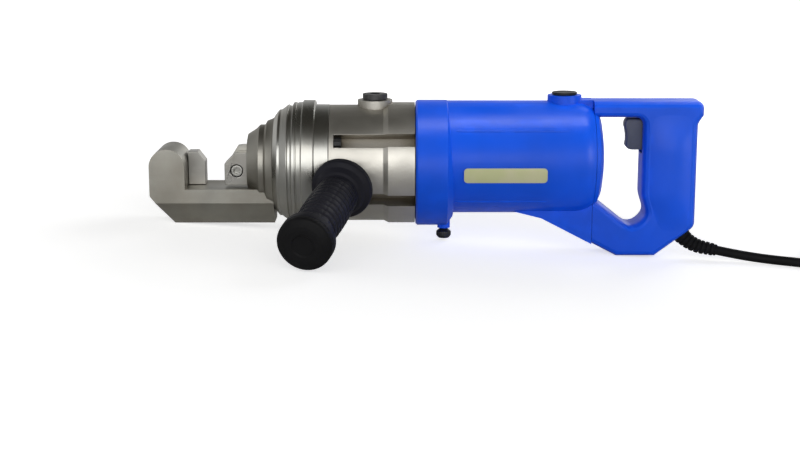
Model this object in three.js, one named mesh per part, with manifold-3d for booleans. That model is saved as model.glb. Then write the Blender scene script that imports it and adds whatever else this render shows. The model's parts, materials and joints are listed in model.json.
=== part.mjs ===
// Portable electric-hydraulic rebar cutter of the 16 mm class, millimetres, +Z up.
//
// A universal motor turns an eccentric shaft through one pair of spur gears. The eccentric works
// a small oil pump, and the oil pushes a piston that drives the moving cutter block past the
// fixed one. The tool's own frame has its x axis on the piston's axis, towards the D-handle, with
// x = 0 where the metal pump case meets the plastic motor housing. The whole tool is then pitched
// nose-down, because it stands on the front edge of its head and on the foot of its handle.
import * as THREE from "three";
import { mergeVertices } from "three/addons/utils/BufferGeometryUtils.js";
import Module from "manifold-3d";

const wasm = await Module();
wasm.setup();

// ---------------------------------------------------------------------------------------------
// Driving dimensions
// ---------------------------------------------------------------------------------------------
const GAP = 0.3; // clearance between pieces that touch on the real tool
const ROUND = 36; // sides of the large round bodies
const MID_ROUND = 18;
const SMALL_ROUND = 10;

// Steel C-shaped head
const HEAD_FRONT = -218;
const TOWER_RADIUS = 14.5; // rounded top of the upright that carries the fixed block
const TOWER_X = HEAD_FRONT + TOWER_RADIUS;
const TOWER_BACK = TOWER_X + TOWER_RADIUS;
const BEAM_TOP = -19;
const BEAM_BOTTOM = -48.7;
const BEAM_HALF_WIDTH = 23;
const BEAM_CHAMFER_Z = -30.4; // where the side faces start to slope in
const BEAM_FOOT_HALF_WIDTH = 12;
const TOE_X = -199; // the front edge that the tool stands on
const TOE_CHAMFER = 24; // height of the sloping face above it

// Cutter blocks and piston
const JAW_GAP = 17.5; // between the blocks when the piston is back
const FIXED_BLOCK_FACE = -174.5;
const MOVING_BLOCK_FACE = FIXED_BLOCK_FACE + JAW_GAP;
const ROD_FRONT = -138;
const ROD_RADIUS = 15.7;
const PISTON_FRONT = -54;
const PISTON_BACK = -40;
const BORE_RADIUS = 30;
const BORE_FRONT = -105;
const SLEEVE_RADIUS = 36.6;
const SLEEVE_BACK = -36;

// Cylinder and pump case
const CYLINDER_FRONT = -116;
const CASE_FRONT = -70;
const CASE_RADIUS = 48;
const CASE_BORE = SLEEVE_RADIUS + 0.4;
const BOLT_ANGLE = 30; // degrees above and below the horizontal
const BOLT_CIRCLE = 43.5;
const FILLER_X = -33;

// Motor housing
const COLLAR_RADIUS = 52;
const COLLAR_LENGTH = 28;
const MOTOR_Z = 5;
const BARREL_RADIUS = 46.5;
const BARREL_BORE = 43;
const BARREL_BACK = 146;
const BARREL_BACK_RADIUS = 41.5; // the barrel's edge is rounded down to this
const BARREL_BACK_BORE = 38;
const BARREL_ROUND_X = 132; // where the rounding starts
const BRUSH_X = 123;
const KNOB_X = 24;

// Gears
const GEAR_MODULE = 1.25;
const PINION_TEETH = 12;
const GEAR_TEETH = 30;
const GEAR_CENTRES = (GEAR_MODULE * (PINION_TEETH + GEAR_TEETH)) / 2;
const ECCENTRIC_Z = MOTOR_Z - GEAR_CENTRES;
const ECCENTRIC_THROW = 1.5;
const BEARING_BORE = 5.2;
const BEARING_RADIUS = 9;
const BEARING_WIDTH = 7;
const SHAFT_RADIUS = BEARING_BORE - GAP;

// D-handle
const HANDLE_HALF_WIDTH = 18;
const HANDLE_TOP = 52.4;
const HANDLE_BACK = 232;
const HANDLE_LIP = 236.5;
const FOOT_FRONT = 167;
const FOOT_BACK = 199;
const FOOT_Z = -76.7;
const HEEL_Z = -52; // top of the chamfer that the cord leaves through
const GUSSET_FRONT = 104;
const WALL = 3.4;
const TRIGGER_PIVOT = new THREE.Vector3(189, 0, 34);

// Side handle, square to the pump case and leaning forward
const SIDE_SEAT = new THREE.Vector3(-57, -58.5, -9);
const SIDE_DIRECTION = new THREE.Vector3(-0.24, -0.94, -0.24).normalize();

// Stance: the line under the toe and the foot lies on the ground
const REST_PITCH = Math.atan2(BEAM_BOTTOM - FOOT_Z, FOOT_FRONT - TOE_X);
const REST_HEIGHT = -(FOOT_FRONT * Math.sin(REST_PITCH) + FOOT_Z * Math.cos(REST_PITCH));

// Mains cord
const CORD_RADIUS = 4;
const CORD_EXIT = new THREE.Vector3(222, 0, -59.5);
const COIL_CENTRE = new THREE.Vector3(400, 40, 0);
const COIL_INNER = 32;
const COIL_OUTER = 56;
const COIL_HEIGHT = 24;

// ---------------------------------------------------------------------------------------------
// Materials
// ---------------------------------------------------------------------------------------------
function metal(color, roughness) {
  return new THREE.MeshStandardMaterial({ color, roughness, metalness: 1 });
}

function plastic(color, roughness) {
  return new THREE.MeshStandardMaterial({ color, roughness, metalness: 0 });
}

const MATERIALS = {
  forgedSteel: metal(0x96948c, 0.42),
  machinedSteel: metal(0xb4b6b0, 0.3),
  toolSteel: metal(0x8c8a80, 0.35),
  castAluminium: metal(0xa8a59c, 0.45),
  blackSteel: metal(0x2a2a2c, 0.5),
  bearingSteel: metal(0xc8c8cc, 0.2),
  copper: metal(0xb5622c, 0.35),
  laminations: metal(0x6e6e70, 0.5),
  carbon: plastic(0x262626, 0.8),
  bluePlastic: plastic(0x1448c8, 0.4),
  darkPlastic: plastic(0x4e525f, 0.5),
  blackPlastic: plastic(0x17171a, 0.55),
  plate: plastic(0xcfc489, 0.45),
  rubber: plastic(0x121214, 0.8),
  softGrip: plastic(0x24242c, 0.7),
  brassPin: metal(0xc9a550, 0.3),
};

// ---------------------------------------------------------------------------------------------
// Solids
// ---------------------------------------------------------------------------------------------
// Corner numbers of a welded geometry, without the triangles that have collapsed to a line.
function solidTriangles(index) {
  const kept = [];
  for (let i = 0; i < index.length; i += 3) {
    const [a, b, c] = [index[i], index[i + 1], index[i + 2]];
    if (a !== b && b !== c && c !== a) kept.push(a, b, c);
  }
  return kept;
}

function signedVolume(position, triangles) {
  const corners = [new THREE.Vector3(), new THREE.Vector3(), new THREE.Vector3()];
  let volume = 0;
  for (let i = 0; i < triangles.length; i += 3) {
    corners.forEach((corner, k) => corner.fromArray(position, 3 * triangles[i + k]));
    volume += corners[0].dot(corners[1].clone().cross(corners[2])) / 6;
  }
  return volume;
}

function toSolid(geometry) {
  const plain = geometry.clone();
  plain.deleteAttribute("normal");
  plain.deleteAttribute("uv");
  const welded = geometry.userData.closed ? plain : mergeVertices(plain, 1e-4);
  const vertProperties = new Float32Array(welded.attributes.position.array);
  const triangles = solidTriangles(welded.index.array);
  if (signedVolume(vertProperties, triangles) < 0) triangles.reverse();
  const mesh = new wasm.Mesh({ numProp: 3, vertProperties, triVerts: new Uint32Array(triangles) });
  return new wasm.Manifold(mesh);
}

function fromSolid(solid) {
  const { vertProperties, triVerts } = solid.getMesh();
  const geometry = new THREE.BufferGeometry();
  geometry.setAttribute("position", new THREE.BufferAttribute(new Float32Array(vertProperties), 3));
  geometry.setIndex(Array.from(triVerts));
  geometry.userData.closed = true;
  return geometry;
}

const join = (...parts) => fromSolid(parts.map(toSolid).reduce((a, b) => a.add(b)));
const cut = (part, ...tools) => fromSolid(tools.map(toSolid).reduce((a, b) => a.subtract(b), toSolid(part)));
const common = (a, b) => fromSolid(toSolid(a).intersect(toSolid(b)));

// A box between two corners.
function block(low, high) {
  const size = high.map((value, i) => value - low[i]);
  const centre = high.map((value, i) => (value + low[i]) / 2);
  return new THREE.BoxGeometry(...size).translate(...centre);
}

// A body turned about the x axis from [x, radius] points, which start and end on the axis or close.
function turned(profile, sides = ROUND) {
  const points = profile.map(([x, radius]) => new THREE.Vector2(radius, x));
  return new THREE.LatheGeometry(points, sides).rotateZ(-Math.PI / 2);
}

function disc(x0, x1, radius, sides = MID_ROUND) {
  return turned([[x0, 0], [x0, radius], [x1, radius], [x1, 0]], sides);
}

function ring(x0, x1, inner, outer, sides = MID_ROUND) {
  return turned([[x0, inner], [x0, outer], [x1, outer], [x1, inner], [x0, inner]], sides);
}

// An upright cylinder about a line parallel to z.
function post(x, y, z0, z1, radius, sides = MID_ROUND) {
  return new THREE.CylinderGeometry(radius, radius, z1 - z0, sides)
    .rotateX(Math.PI / 2)
    .translate(x, y, (z0 + z1) / 2);
}

// A cylinder across the tool, about a line parallel to y.
function crossPost(x, z, y0, y1, radius, sides = SMALL_ROUND) {
  return new THREE.CylinderGeometry(radius, radius, y1 - y0, sides).translate(x, (y0 + y1) / 2, z);
}

// A prism across the tool: an outline of (x, z) points pushed out from y0 to y1.
function sidePrism(shape, y0, y1, options = {}) {
  const bevel = options.bevelThickness ?? 0;
  const depth = y1 - y0 - 2 * bevel;
  const geometry = new THREE.ExtrudeGeometry(shape, { depth, bevelEnabled: bevel > 0, ...options });
  return geometry.rotateX(Math.PI / 2).translate(0, y1 - bevel, 0);
}

// A prism along the tool: an outline of (y, z) points pushed out from x0 to x1.
function longPrism(points, x0, x1) {
  const shape = new THREE.Shape(points.map(([y, z]) => new THREE.Vector2(y, z)));
  const geometry = new THREE.ExtrudeGeometry(shape, { depth: x1 - x0, bevelEnabled: false });
  return geometry.rotateY(Math.PI / 2).rotateX(Math.PI / 2).translate(x0, 0, 0);
}

// Rounds the corners of a closed outline: each corner is (x, z, radius), sharp without a radius.
function rounded(corners, steps = 4) {
  const places = corners.map(([x, z]) => new THREE.Vector2(x, z));
  const points = [];
  corners.forEach(([, , radius], i) => {
    const here = places[i];
    if (!radius) {
      points.push(here);
      return;
    }
    const before = places.at(i - 1).clone().sub(here).normalize();
    const after = places[(i + 1) % places.length].clone().sub(here).normalize();
    const half = Math.acos(before.dot(after)) / 2;
    const middle = before.clone().add(after).normalize();
    const centre = here.clone().addScaledVector(middle, radius / Math.sin(half));
    const first = here.clone().addScaledVector(before, radius / Math.tan(half)).sub(centre);
    const turn = Math.sign(before.cross(after)) * (2 * half - Math.PI);
    for (let step = 0; step <= steps; step += 1) {
      const spoke = first.clone().rotateAround(new THREE.Vector2(), (turn * step) / steps);
      points.push(centre.clone().add(spoke));
    }
  });
  return points;
}

const outline = (points) => new THREE.Shape(points.map(([x, z]) => new THREE.Vector2(x, z)));

// Turns a body built along +x so that it points along a direction from a place.
function aim(geometry, direction, place) {
  const turn = new THREE.Quaternion().setFromUnitVectors(new THREE.Vector3(1, 0, 0), direction);
  return geometry.applyQuaternion(turn).translate(place.x, place.y, place.z);
}

// A socket-head screw along +x from the back of its head at x = 0; the shank runs to x = length.
function socketScrew(headRadius, headHeight, shankRadius, length) {
  const body = turned(
    [[0, 0], [0, headRadius - 0.5], [0.5, headRadius], [headHeight, headRadius],
      [headHeight, shankRadius], [length - 1, shankRadius], [length, shankRadius - 1], [length, 0]],
    SMALL_ROUND,
  );
  return cut(body, disc(-1, headHeight * 0.6, headRadius * 0.55, 6));
}

// A coil spring along +x, as one round wire.
function coilSpring(x0, x1, radius, wireRadius, turns) {
  class Helix extends THREE.Curve {
    getPoint(t, target = new THREE.Vector3()) {
      const angle = 2 * Math.PI * turns * t;
      return target.set(x0 + (x1 - x0) * t, radius * Math.cos(angle), radius * Math.sin(angle));
    }
  }
  const section = new THREE.Shape().absarc(0, 0, wireRadius, 0, 2 * Math.PI);
  return new THREE.ExtrudeGeometry(section, {
    steps: turns * 9,
    curveSegments: 2, // half the sides of the wire
    extrudePath: new Helix(),
    bevelEnabled: false,
  });
}

// ---------------------------------------------------------------------------------------------
// Head and cutter blocks
// ---------------------------------------------------------------------------------------------
function cutterHead() {
  const back = CYLINDER_FRONT - GAP;
  const side = new THREE.Shape();
  side.moveTo(HEAD_FRONT, BEAM_BOTTOM + TOE_CHAMFER);
  side.lineTo(TOE_X, BEAM_BOTTOM);
  side.lineTo(back, BEAM_BOTTOM);
  side.lineTo(back, BEAM_TOP);
  side.lineTo(TOWER_BACK, BEAM_TOP);
  side.lineTo(TOWER_BACK, -0.5);
  side.absarc(TOWER_X, -0.5, TOWER_RADIUS, 0, Math.PI);
  const section = [
    [-BEAM_HALF_WIDTH, 40], [-BEAM_HALF_WIDTH, BEAM_CHAMFER_Z], [-BEAM_FOOT_HALF_WIDTH, BEAM_BOTTOM],
    [BEAM_FOOT_HALF_WIDTH, BEAM_BOTTOM], [BEAM_HALF_WIDTH, BEAM_CHAMFER_Z], [BEAM_HALF_WIDTH, 40],
  ];
  const wide = BEAM_HALF_WIDTH + 5;
  const upright = common(
    sidePrism(side, -wide, wide, { curveSegments: 16 }),
    longPrism(section, HEAD_FRONT - 2, CYLINDER_FRONT),
  );
  const yoke = turned([
    [ROD_FRONT, 0], [ROD_FRONT, 24], [-131, 28.5], [-128, 31.5], [-124, 31.5], [-122, 35],
    [-118, 36.5], [back, 37.5], [back, 0],
  ]);
  const rodPassage = disc(ROD_FRONT - 40, CYLINDER_FRONT + 5, ROD_RADIUS + 0.6);
  const screwHole = join(
    disc(HEAD_FRONT - 1, HEAD_FRONT + 7, 6.3, SMALL_ROUND),
    disc(HEAD_FRONT + 6, TOWER_BACK + 1, 3.8, SMALL_ROUND),
  ).translate(0, FIXED_BLOCK_Y, -2);
  return cut(join(upright, yoke), rodPassage, screwHole);
}

// The fixed block stands on the far side of the shear plane y = 0, the moving one on the near side.
const FIXED_BLOCK_Y = 8;
const BLOCK_THICKNESS = 14;
const BLOCK_BOTTOM = BEAM_TOP + GAP;

function fixedCutterBlock() {
  const face = FIXED_BLOCK_FACE;
  const shape = outline([
    [TOWER_BACK + GAP, BLOCK_BOTTOM], [face, BLOCK_BOTTOM], [face, 1], [face - 6, 9],
    [TOWER_BACK + GAP, 9],
  ]);
  const body = sidePrism(shape, GAP, GAP + BLOCK_THICKNESS);
  const tapped = disc(TOWER_BACK - 2, face - 4, 3.8, SMALL_ROUND).translate(0, FIXED_BLOCK_Y, -2);
  return cut(body, tapped);
}

function fixedCutterScrew() {
  const length = FIXED_BLOCK_FACE - 5 - (HEAD_FRONT + 1);
  return socketScrew(6, 5.7, 3.5, length).translate(HEAD_FRONT + 1, FIXED_BLOCK_Y, -2);
}

function movingCutterBlock() {
  const face = MOVING_BLOCK_FACE;
  const shape = outline([
    [face, BLOCK_BOTTOM + 2], [ROD_FRONT - GAP, BLOCK_BOTTOM + 2], [ROD_FRONT - GAP, 10],
    [face + 9, 10], [face, 1],
  ]);
  const body = sidePrism(shape, -BLOCK_THICKNESS - GAP, -GAP);
  return cut(
    body,
    crossPost(face + 10, -5, -16, -BLOCK_THICKNESS + 6, 5.4),
    crossPost(face + 10, -5, -BLOCK_THICKNESS, 1, 3.3),
  );
}

function movingCutterScrew() {
  return socketScrew(5, 5.5, 3, 19)
    .rotateZ(Math.PI / 2)
    .translate(MOVING_BLOCK_FACE + 10, -BLOCK_THICKNESS - GAP + 0.4, -5);
}

// ---------------------------------------------------------------------------------------------
// Piston, cylinder and pump case
// ---------------------------------------------------------------------------------------------
function pistonRod() {
  const body = turned([
    [ROD_FRONT, 0], [ROD_FRONT, ROD_RADIUS], [PISTON_FRONT - GAP, ROD_RADIUS],
    [PISTON_FRONT - GAP, 10], [PISTON_BACK - 2, 10], [PISTON_BACK - 2, 0],
  ]);
  // The lug that carries the moving block is one half of the rod, with a sloping nose.
  const nose = outline([
    [MOVING_BLOCK_FACE + 5, -10], [ROD_FRONT + 2, -14], [ROD_FRONT + 2, 16],
    [MOVING_BLOCK_FACE + 10, 14], [MOVING_BLOCK_FACE + 5, 6],
  ]);
  const lug = common(
    sidePrism(nose, 0, 20),
    disc(MOVING_BLOCK_FACE, ROD_FRONT + 2, ROD_RADIUS),
  );
  return cut(join(body, lug), crossPost(MOVING_BLOCK_FACE + 10, -5, -1, 8, 3.3));
}

const SEAL_FRONT = PISTON_FRONT + 5;
const SEAL_BACK = SEAL_FRONT + 4;

function piston() {
  const outer = BORE_RADIUS - GAP;
  const floor = BORE_RADIUS - 4;
  return turned([
    [PISTON_FRONT, 10.3], [PISTON_FRONT, outer - 1], [PISTON_FRONT + 1, outer], [SEAL_FRONT, outer],
    [SEAL_FRONT, floor], [SEAL_BACK, floor], [SEAL_BACK, outer], [PISTON_BACK, outer],
    [PISTON_BACK, 10.3], [PISTON_FRONT, 10.3],
  ]);
}

function cylinder() {
  const back = CASE_FRONT - GAP;
  const body = turned([
    [CYLINDER_FRONT, 22], [CYLINDER_FRONT, 38.5], [-112, 44], [-110, 44], [-104, 48.5], [-103, 47.2],
    [-101, 47.2], [-100, 50], [-92, 50], [-92, 51.8],
    [-82, 51.8], [-82, 48.2], [back, 48.2], [back, SLEEVE_RADIUS], [SLEEVE_BACK, SLEEVE_RADIUS],
    [SLEEVE_BACK, BORE_RADIUS], [BORE_FRONT, BORE_RADIUS], [BORE_FRONT, 22], [CYLINDER_FRONT, 22],
  ]);
  return cut(body, ...boltPlaces().map((place) => disc(-84, back + 1, 3.3, 12).translate(...place)));
}

function boltPlaces() {
  return [BOLT_ANGLE, -BOLT_ANGLE, 180 - BOLT_ANGLE, 180 + BOLT_ANGLE].map((degrees) => {
    const angle = THREE.MathUtils.degToRad(degrees);
    return [0, -BOLT_CIRCLE * Math.cos(angle), BOLT_CIRCLE * Math.sin(angle)];
  });
}

// A screw that joins the pump case to the cylinder, reached through a channel in the case.
function caseBolt(place) {
  return socketScrew(4.6, 6, 3, 23)
    .rotateZ(Math.PI)
    .translate(CASE_FRONT + 10.3, 0, 0)
    .translate(...place);
}

// The groove along the case in which a case bolt is turned.
function boltChannel([, y, z]) {
  const floor = CASE_BORE + 1.6;
  const groove = block([CASE_FRONT + 4, -5.6, 0], [1, 5.6, 12.5])
    .translate(0, 0, floor)
    .rotateX(Math.atan2(-y, z));
  return join(groove, disc(CASE_FRONT - 1, CASE_FRONT + 5, 3.3, 12).translate(0, y, z));
}

function sideBoss(sign) {
  const flip = new THREE.Vector3(1, -sign, 1);
  const direction = SIDE_DIRECTION.clone().multiply(flip);
  const place = SIDE_SEAT.clone().multiply(flip).addScaledVector(direction, -GAP);
  const boss = disc(-21, 0, 12.4, MID_ROUND);
  const tapped = disc(-16, 1, 6.3, SMALL_ROUND);
  return { boss: aim(boss, direction, place), tapped: aim(tapped, direction, place.clone()) };
}

function pumpCase() {
  const shell = turned([
    [CASE_FRONT, 0], [CASE_FRONT, CASE_RADIUS], [-26, CASE_RADIUS], [-22, 50], [-GAP, 50], [-GAP, 0],
  ]);
  const near = sideBoss(-1);
  const far = sideBoss(1);
  const filler = post(FILLER_X, 0, CASE_BORE + 2, 52.5, 14.5);
  return cut(
    join(shell, near.boss, far.boss, filler),
    ...boltPlaces().map(boltChannel),
    near.tapped,
    far.tapped,
    disc(CASE_FRONT - 1, 1, CASE_BORE, ROUND),
    post(FILLER_X, 0, 20, 60, 6.3, SMALL_ROUND),
  );
}

function oilFillerPlug() {
  const body = join(
    post(FILLER_X, 0, 52.8, 57.4, 10.2, 24),
    post(FILLER_X, 0, CASE_BORE + 3, 53, 6, SMALL_ROUND),
  );
  return cut(body, post(FILLER_X, 0, 55, 58, 4.5, 6));
}

// ---------------------------------------------------------------------------------------------
// Pump
// ---------------------------------------------------------------------------------------------
const PUMP_FRONT = SLEEVE_BACK + GAP;
const PUMP_BACK = -16;
const PLUNGER_X = (PUMP_FRONT + PUMP_BACK) / 2 + 3;
const CAVITY_RADIUS = 12.5;
const PLUNGER_FOOT = ECCENTRIC_Z + BEARING_RADIUS + ECCENTRIC_THROW + GAP;

function pumpBlock() {
  return cut(
    disc(PUMP_FRONT, PUMP_BACK, SLEEVE_RADIUS, ROUND),
    disc(PUMP_FRONT + 4, PUMP_BACK + 1, CAVITY_RADIUS).translate(0, 0, ECCENTRIC_Z),
    post(PLUNGER_X, 0, ECCENTRIC_Z, 24, 5, SMALL_ROUND),
    disc(PUMP_FRONT - 1, PUMP_FRONT + 8, 2.5, 12).translate(0, 14, 0),
  );
}

function pumpPlunger() {
  return post(PLUNGER_X, 0, PLUNGER_FOOT, 6, 4.7, SMALL_ROUND);
}

function plungerSpring() {
  return coilSpring(7.2, 22.8, 3.6, 0.8, 5)
    .rotateY(-Math.PI / 2)
    .translate(PLUNGER_X, 0, 0);
}

// The bladder keeps air out of the oil; it bends round the eccentric shaft.
function oilBladder() {
  const around = block([PUMP_BACK, -11, -60], [0, 11, ECCENTRIC_Z]);
  return cut(
    disc(PUMP_BACK + GAP, -2, SLEEVE_RADIUS - 1),
    disc(PUMP_BACK, 0, 11).translate(0, 0, ECCENTRIC_Z),
    around,
  );
}

// ---------------------------------------------------------------------------------------------
// Gears and shafts
// ---------------------------------------------------------------------------------------------
const PRESSURE_ANGLE = THREE.MathUtils.degToRad(25);
const ADDENDUM = 0.88;
const DEDENDUM = 1.12;
const BACKLASH = 0.14; // taken off each flank at the pitch circle
const GEAR_FRONT = 13;
const GEAR_BACK = 24;

// The outline of an involute spur gear, with a tooth or a space centred on angle 0.
function gearShape(teeth, spaceAtZero) {
  const pitch = (GEAR_MODULE * teeth) / 2;
  const base = pitch * Math.cos(PRESSURE_ANGLE);
  const tip = pitch + ADDENDUM * GEAR_MODULE;
  const root = pitch - DEDENDUM * GEAR_MODULE;
  const involute = (radius) => Math.sqrt((radius / base) ** 2 - 1) - Math.acos(base / radius);
  const halfTooth = Math.PI / (2 * teeth) - BACKLASH / pitch;
  const start = Math.max(base, root);
  const points = [];
  for (let tooth = 0; tooth < teeth; tooth += 1) {
    const middle = (2 * Math.PI * (tooth + (spaceAtZero ? 0.5 : 0))) / teeth;
    const flank = [0, 0.5, 1].map((t) => {
      const radius = start + (tip - start) * t;
      return [radius, halfTooth + involute(pitch) - involute(radius)];
    });
    const half = [[root, flank[0][1]], ...(start > root ? flank : flank.slice(1))];
    for (const [radius, angle] of half) points.push([radius, middle - angle]);
    for (const [radius, angle] of half.reverse()) points.push([radius, middle + angle]);
  }
  return outline(points.map(([radius, angle]) => [radius * Math.cos(angle), radius * Math.sin(angle)]));
}

// A spur gear on the x axis; its outline's angle 0 looks along +z.
function spurGear(teeth, spaceAtZero, x0, x1, bore) {
  const wheel = new THREE.ExtrudeGeometry(gearShape(teeth, spaceAtZero), {
    depth: x1 - x0,
    bevelEnabled: false,
  });
  wheel.rotateZ(Math.PI / 2).rotateY(Math.PI / 2).rotateX(Math.PI / 2).translate(x0, 0, 0);
  return cut(wheel, disc(x0 - 1, x1 + 1, bore, SMALL_ROUND));
}

function gearCase() {
  const body = turned([
    [0, 0], [0, 47.6], [COLLAR_LENGTH - GAP, 47.6], [COLLAR_LENGTH - GAP, 44], [9.5, 44], [9.5, 0],
  ]);
  return cut(body, disc(-1, 10, BEARING_RADIUS + GAP).translate(0, 0, ECCENTRIC_Z));
}

const COVER_FRONT = COLLAR_LENGTH + GAP;
const COVER_BACK = COVER_FRONT + BEARING_WIDTH + 1;

function gearCover() {
  const seat = disc(COVER_FRONT - 1, COVER_BACK + 1, BEARING_RADIUS + GAP);
  return cut(
    disc(COVER_FRONT, COVER_BACK, BARREL_BORE - GAP, ROUND).translate(0, 0, MOTOR_Z),
    seat.clone().translate(0, 0, MOTOR_Z),
    seat.translate(0, 0, ECCENTRIC_Z),
  );
}

function bearing(x, z) {
  return ring(x, x + BEARING_WIDTH, BEARING_BORE, BEARING_RADIUS).translate(0, 0, z);
}

function eccentricShaft() {
  const shaft = disc(PUMP_BACK, COVER_BACK, SHAFT_RADIUS, MID_ROUND);
  const lobe = disc(PUMP_FRONT + 6, PUMP_BACK + 0.5, 5.6, MID_ROUND).translate(0, 0, ECCENTRIC_THROW);
  return join(shaft, lobe).translate(0, 0, ECCENTRIC_Z);
}

function eccentricBearing() {
  return ring(PUMP_FRONT + 7, PUMP_FRONT + 7 + BEARING_WIDTH, 5.9, BEARING_RADIUS)
    .translate(0, 0, ECCENTRIC_Z + ECCENTRIC_THROW);
}

function eccentricGear() {
  return spurGear(GEAR_TEETH, false, GEAR_FRONT, GEAR_BACK, BEARING_BORE).translate(0, 0, ECCENTRIC_Z);
}

// ---------------------------------------------------------------------------------------------
// Motor
// ---------------------------------------------------------------------------------------------
const CORE_FRONT = 58;
const CORE_BACK = 100;
const CORE_RADIUS = 22;
const COMMUTATOR_FRONT = 113;
const COMMUTATOR_BACK = 133;
const COMMUTATOR_RADIUS = 12;
const REAR_BEARING_X = 138.5;
const ARMATURE_SLOTS = 8;
const onMotor = (geometry) => geometry.translate(0, 0, MOTOR_Z);

// The pinion is cut on the end of the shaft.
function armatureShaft() {
  const back = REAR_BEARING_X + BEARING_WIDTH + 1;
  const shaft = disc(GEAR_FRONT, back, SHAFT_RADIUS);
  const pinion = spurGear(PINION_TEETH, true, GEAR_FRONT - 0.5, GEAR_BACK + 0.5, 3);
  return onMotor(join(shaft, pinion.rotateX(Math.PI)));
}

function coolingFan() {
  const blades = 9;
  const hub = ring(38, 46, BEARING_BORE, 10);
  const plate = ring(38, 40, 9, 36, ROUND);
  const vanes = Array.from({ length: blades }, (_, i) =>
    block([39, -0.9, 9.5], [46, 0.9, 35]).rotateX((2 * Math.PI * i) / blades));
  return onMotor(join(hub, plate, ...vanes));
}

function armatureCore() {
  const slots = ARMATURE_SLOTS;
  const slot = (i) => block([CORE_FRONT - 1, -1.2, CORE_RADIUS - 5], [CORE_BACK + 1, 1.2, CORE_RADIUS + 2])
    .rotateX((2 * Math.PI * i) / slots);
  const body = ring(CORE_FRONT, CORE_BACK, BEARING_BORE, CORE_RADIUS, 48);
  return onMotor(cut(body, ...Array.from({ length: slots }, (_, i) => slot(i))));
}

// Two rings of end turns, joined by the wires in the core's slots.
function armatureWinding() {
  const slots = ARMATURE_SLOTS;
  const wires = Array.from({ length: slots }, (_, i) =>
    block([CORE_FRONT - 4, -0.9, 17.3], [CORE_BACK + 4, 0.9, 20.8]).rotateX((2 * Math.PI * i) / slots));
  const front = windingHead(50, CORE_FRONT - GAP, 6, 19);
  const rear = windingHead(CORE_BACK + GAP, 110, 6, 19);
  return onMotor(join(front, rear, ...wires));
}

function commutator() {
  return onMotor(ring(COMMUTATOR_FRONT, COMMUTATOR_BACK, BEARING_BORE, COMMUTATOR_RADIUS));
}

// The end turns of a winding: a ring with rounded outer corners.
function windingHead(x0, x1, inner, outer) {
  const soft = 2.5;
  return turned([
    [x0, inner], [x0, outer - soft], [x0 + soft, outer], [x1 - soft, outer], [x1, outer - soft],
    [x1, inner], [x0, inner],
  ], MID_ROUND);
}

// The two field coils pass through slots above and below the armature.
function fieldSlot(side, clearance) {
  return block(
    [CORE_FRONT - 1, -8.5 - clearance, 27.3 - clearance],
    [CORE_BACK + 1, 8.5 + clearance, 37 + clearance],
  ).rotateX(side > 0 ? 0 : Math.PI);
}

function statorCore() {
  const body = ring(CORE_FRONT, CORE_BACK, CORE_RADIUS + 0.8, BARREL_BORE - GAP, ROUND);
  return onMotor(cut(body, fieldSlot(1, GAP), fieldSlot(-1, GAP)));
}

function statorWinding() {
  const front = windingHead(47.5, CORE_FRONT - GAP, 26, 40);
  const rear = windingHead(CORE_BACK + GAP, 109, 26, 40);
  return onMotor(join(front, rear, fieldSlot(1, 0), fieldSlot(-1, 0)));
}

// Brush gear above or below the commutator: side is 1 for the top, -1 for the bottom.
const HOLDER_INNER = 14;
const HOLDER_OUTER = 40;
const CAP_BORE = 9.3;

function onBrush(geometry, side) {
  if (side < 0) geometry.rotateX(Math.PI);
  return geometry.translate(BRUSH_X, 0, MOTOR_Z);
}

function brushHolder(side) {
  const tube = cut(
    block([-6.5, -6.5, HOLDER_INNER], [6.5, 6.5, HOLDER_OUTER]),
    block([-4.3, -4.3, HOLDER_INNER - 1], [4.3, 4.3, HOLDER_OUTER + 1]),
  );
  return onBrush(tube, side);
}

function carbonBrush(side) {
  return onBrush(block([-4, -4, COMMUTATOR_RADIUS + GAP], [4, 4, 30]), side);
}

function brushCap(side) {
  const top = side > 0 ? 53.8 : 52;
  const cap = join(post(0, 0, HOLDER_OUTER + 1, top - 1.5, 9, 24), post(0, 0, top - 2, top, 10.4, 24));
  const slot = block([-8, -0.8, top - 1.2], [8, 0.8, top + 1]);
  return onBrush(cut(cap, slot), side);
}

// ---------------------------------------------------------------------------------------------
// Motor housing
// ---------------------------------------------------------------------------------------------
const BOSS_TOP = MOTOR_Z + 51.4;
const GUSSET_SLOPE = (FOOT_Z + 44) / (FOOT_FRONT - GUSSET_FRONT);
const gussetZ = (x) => -44 + GUSSET_SLOPE * (x - GUSSET_FRONT);

function gusset() {
  const shape = outline([
    [GUSSET_FRONT - 22, MOTOR_Z - BARREL_RADIUS + 3], [BARREL_BACK, MOTOR_Z - BARREL_RADIUS + 12],
    [BARREL_BACK, gussetZ(BARREL_BACK)], [GUSSET_FRONT, -44],
    [GUSSET_FRONT - 10, MOTOR_Z - BARREL_RADIUS],
  ]);
  return sidePrism(shape, -HANDLE_HALF_WIDTH, HANDLE_HALF_WIDTH);
}

// Air slots through the far side of the barrel, around the commutator end.
function airSlots() {
  const [front, back, halfHeight, spacing] = [114, 136, 1.3, 6];
  return [0, 1, 2, 3].map((i) => {
    const z = MOTOR_Z + 1.5 * spacing - spacing * i;
    return block([front, 1, z - halfHeight], [back, BARREL_RADIUS + 10, z + halfHeight]);
  });
}

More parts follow.
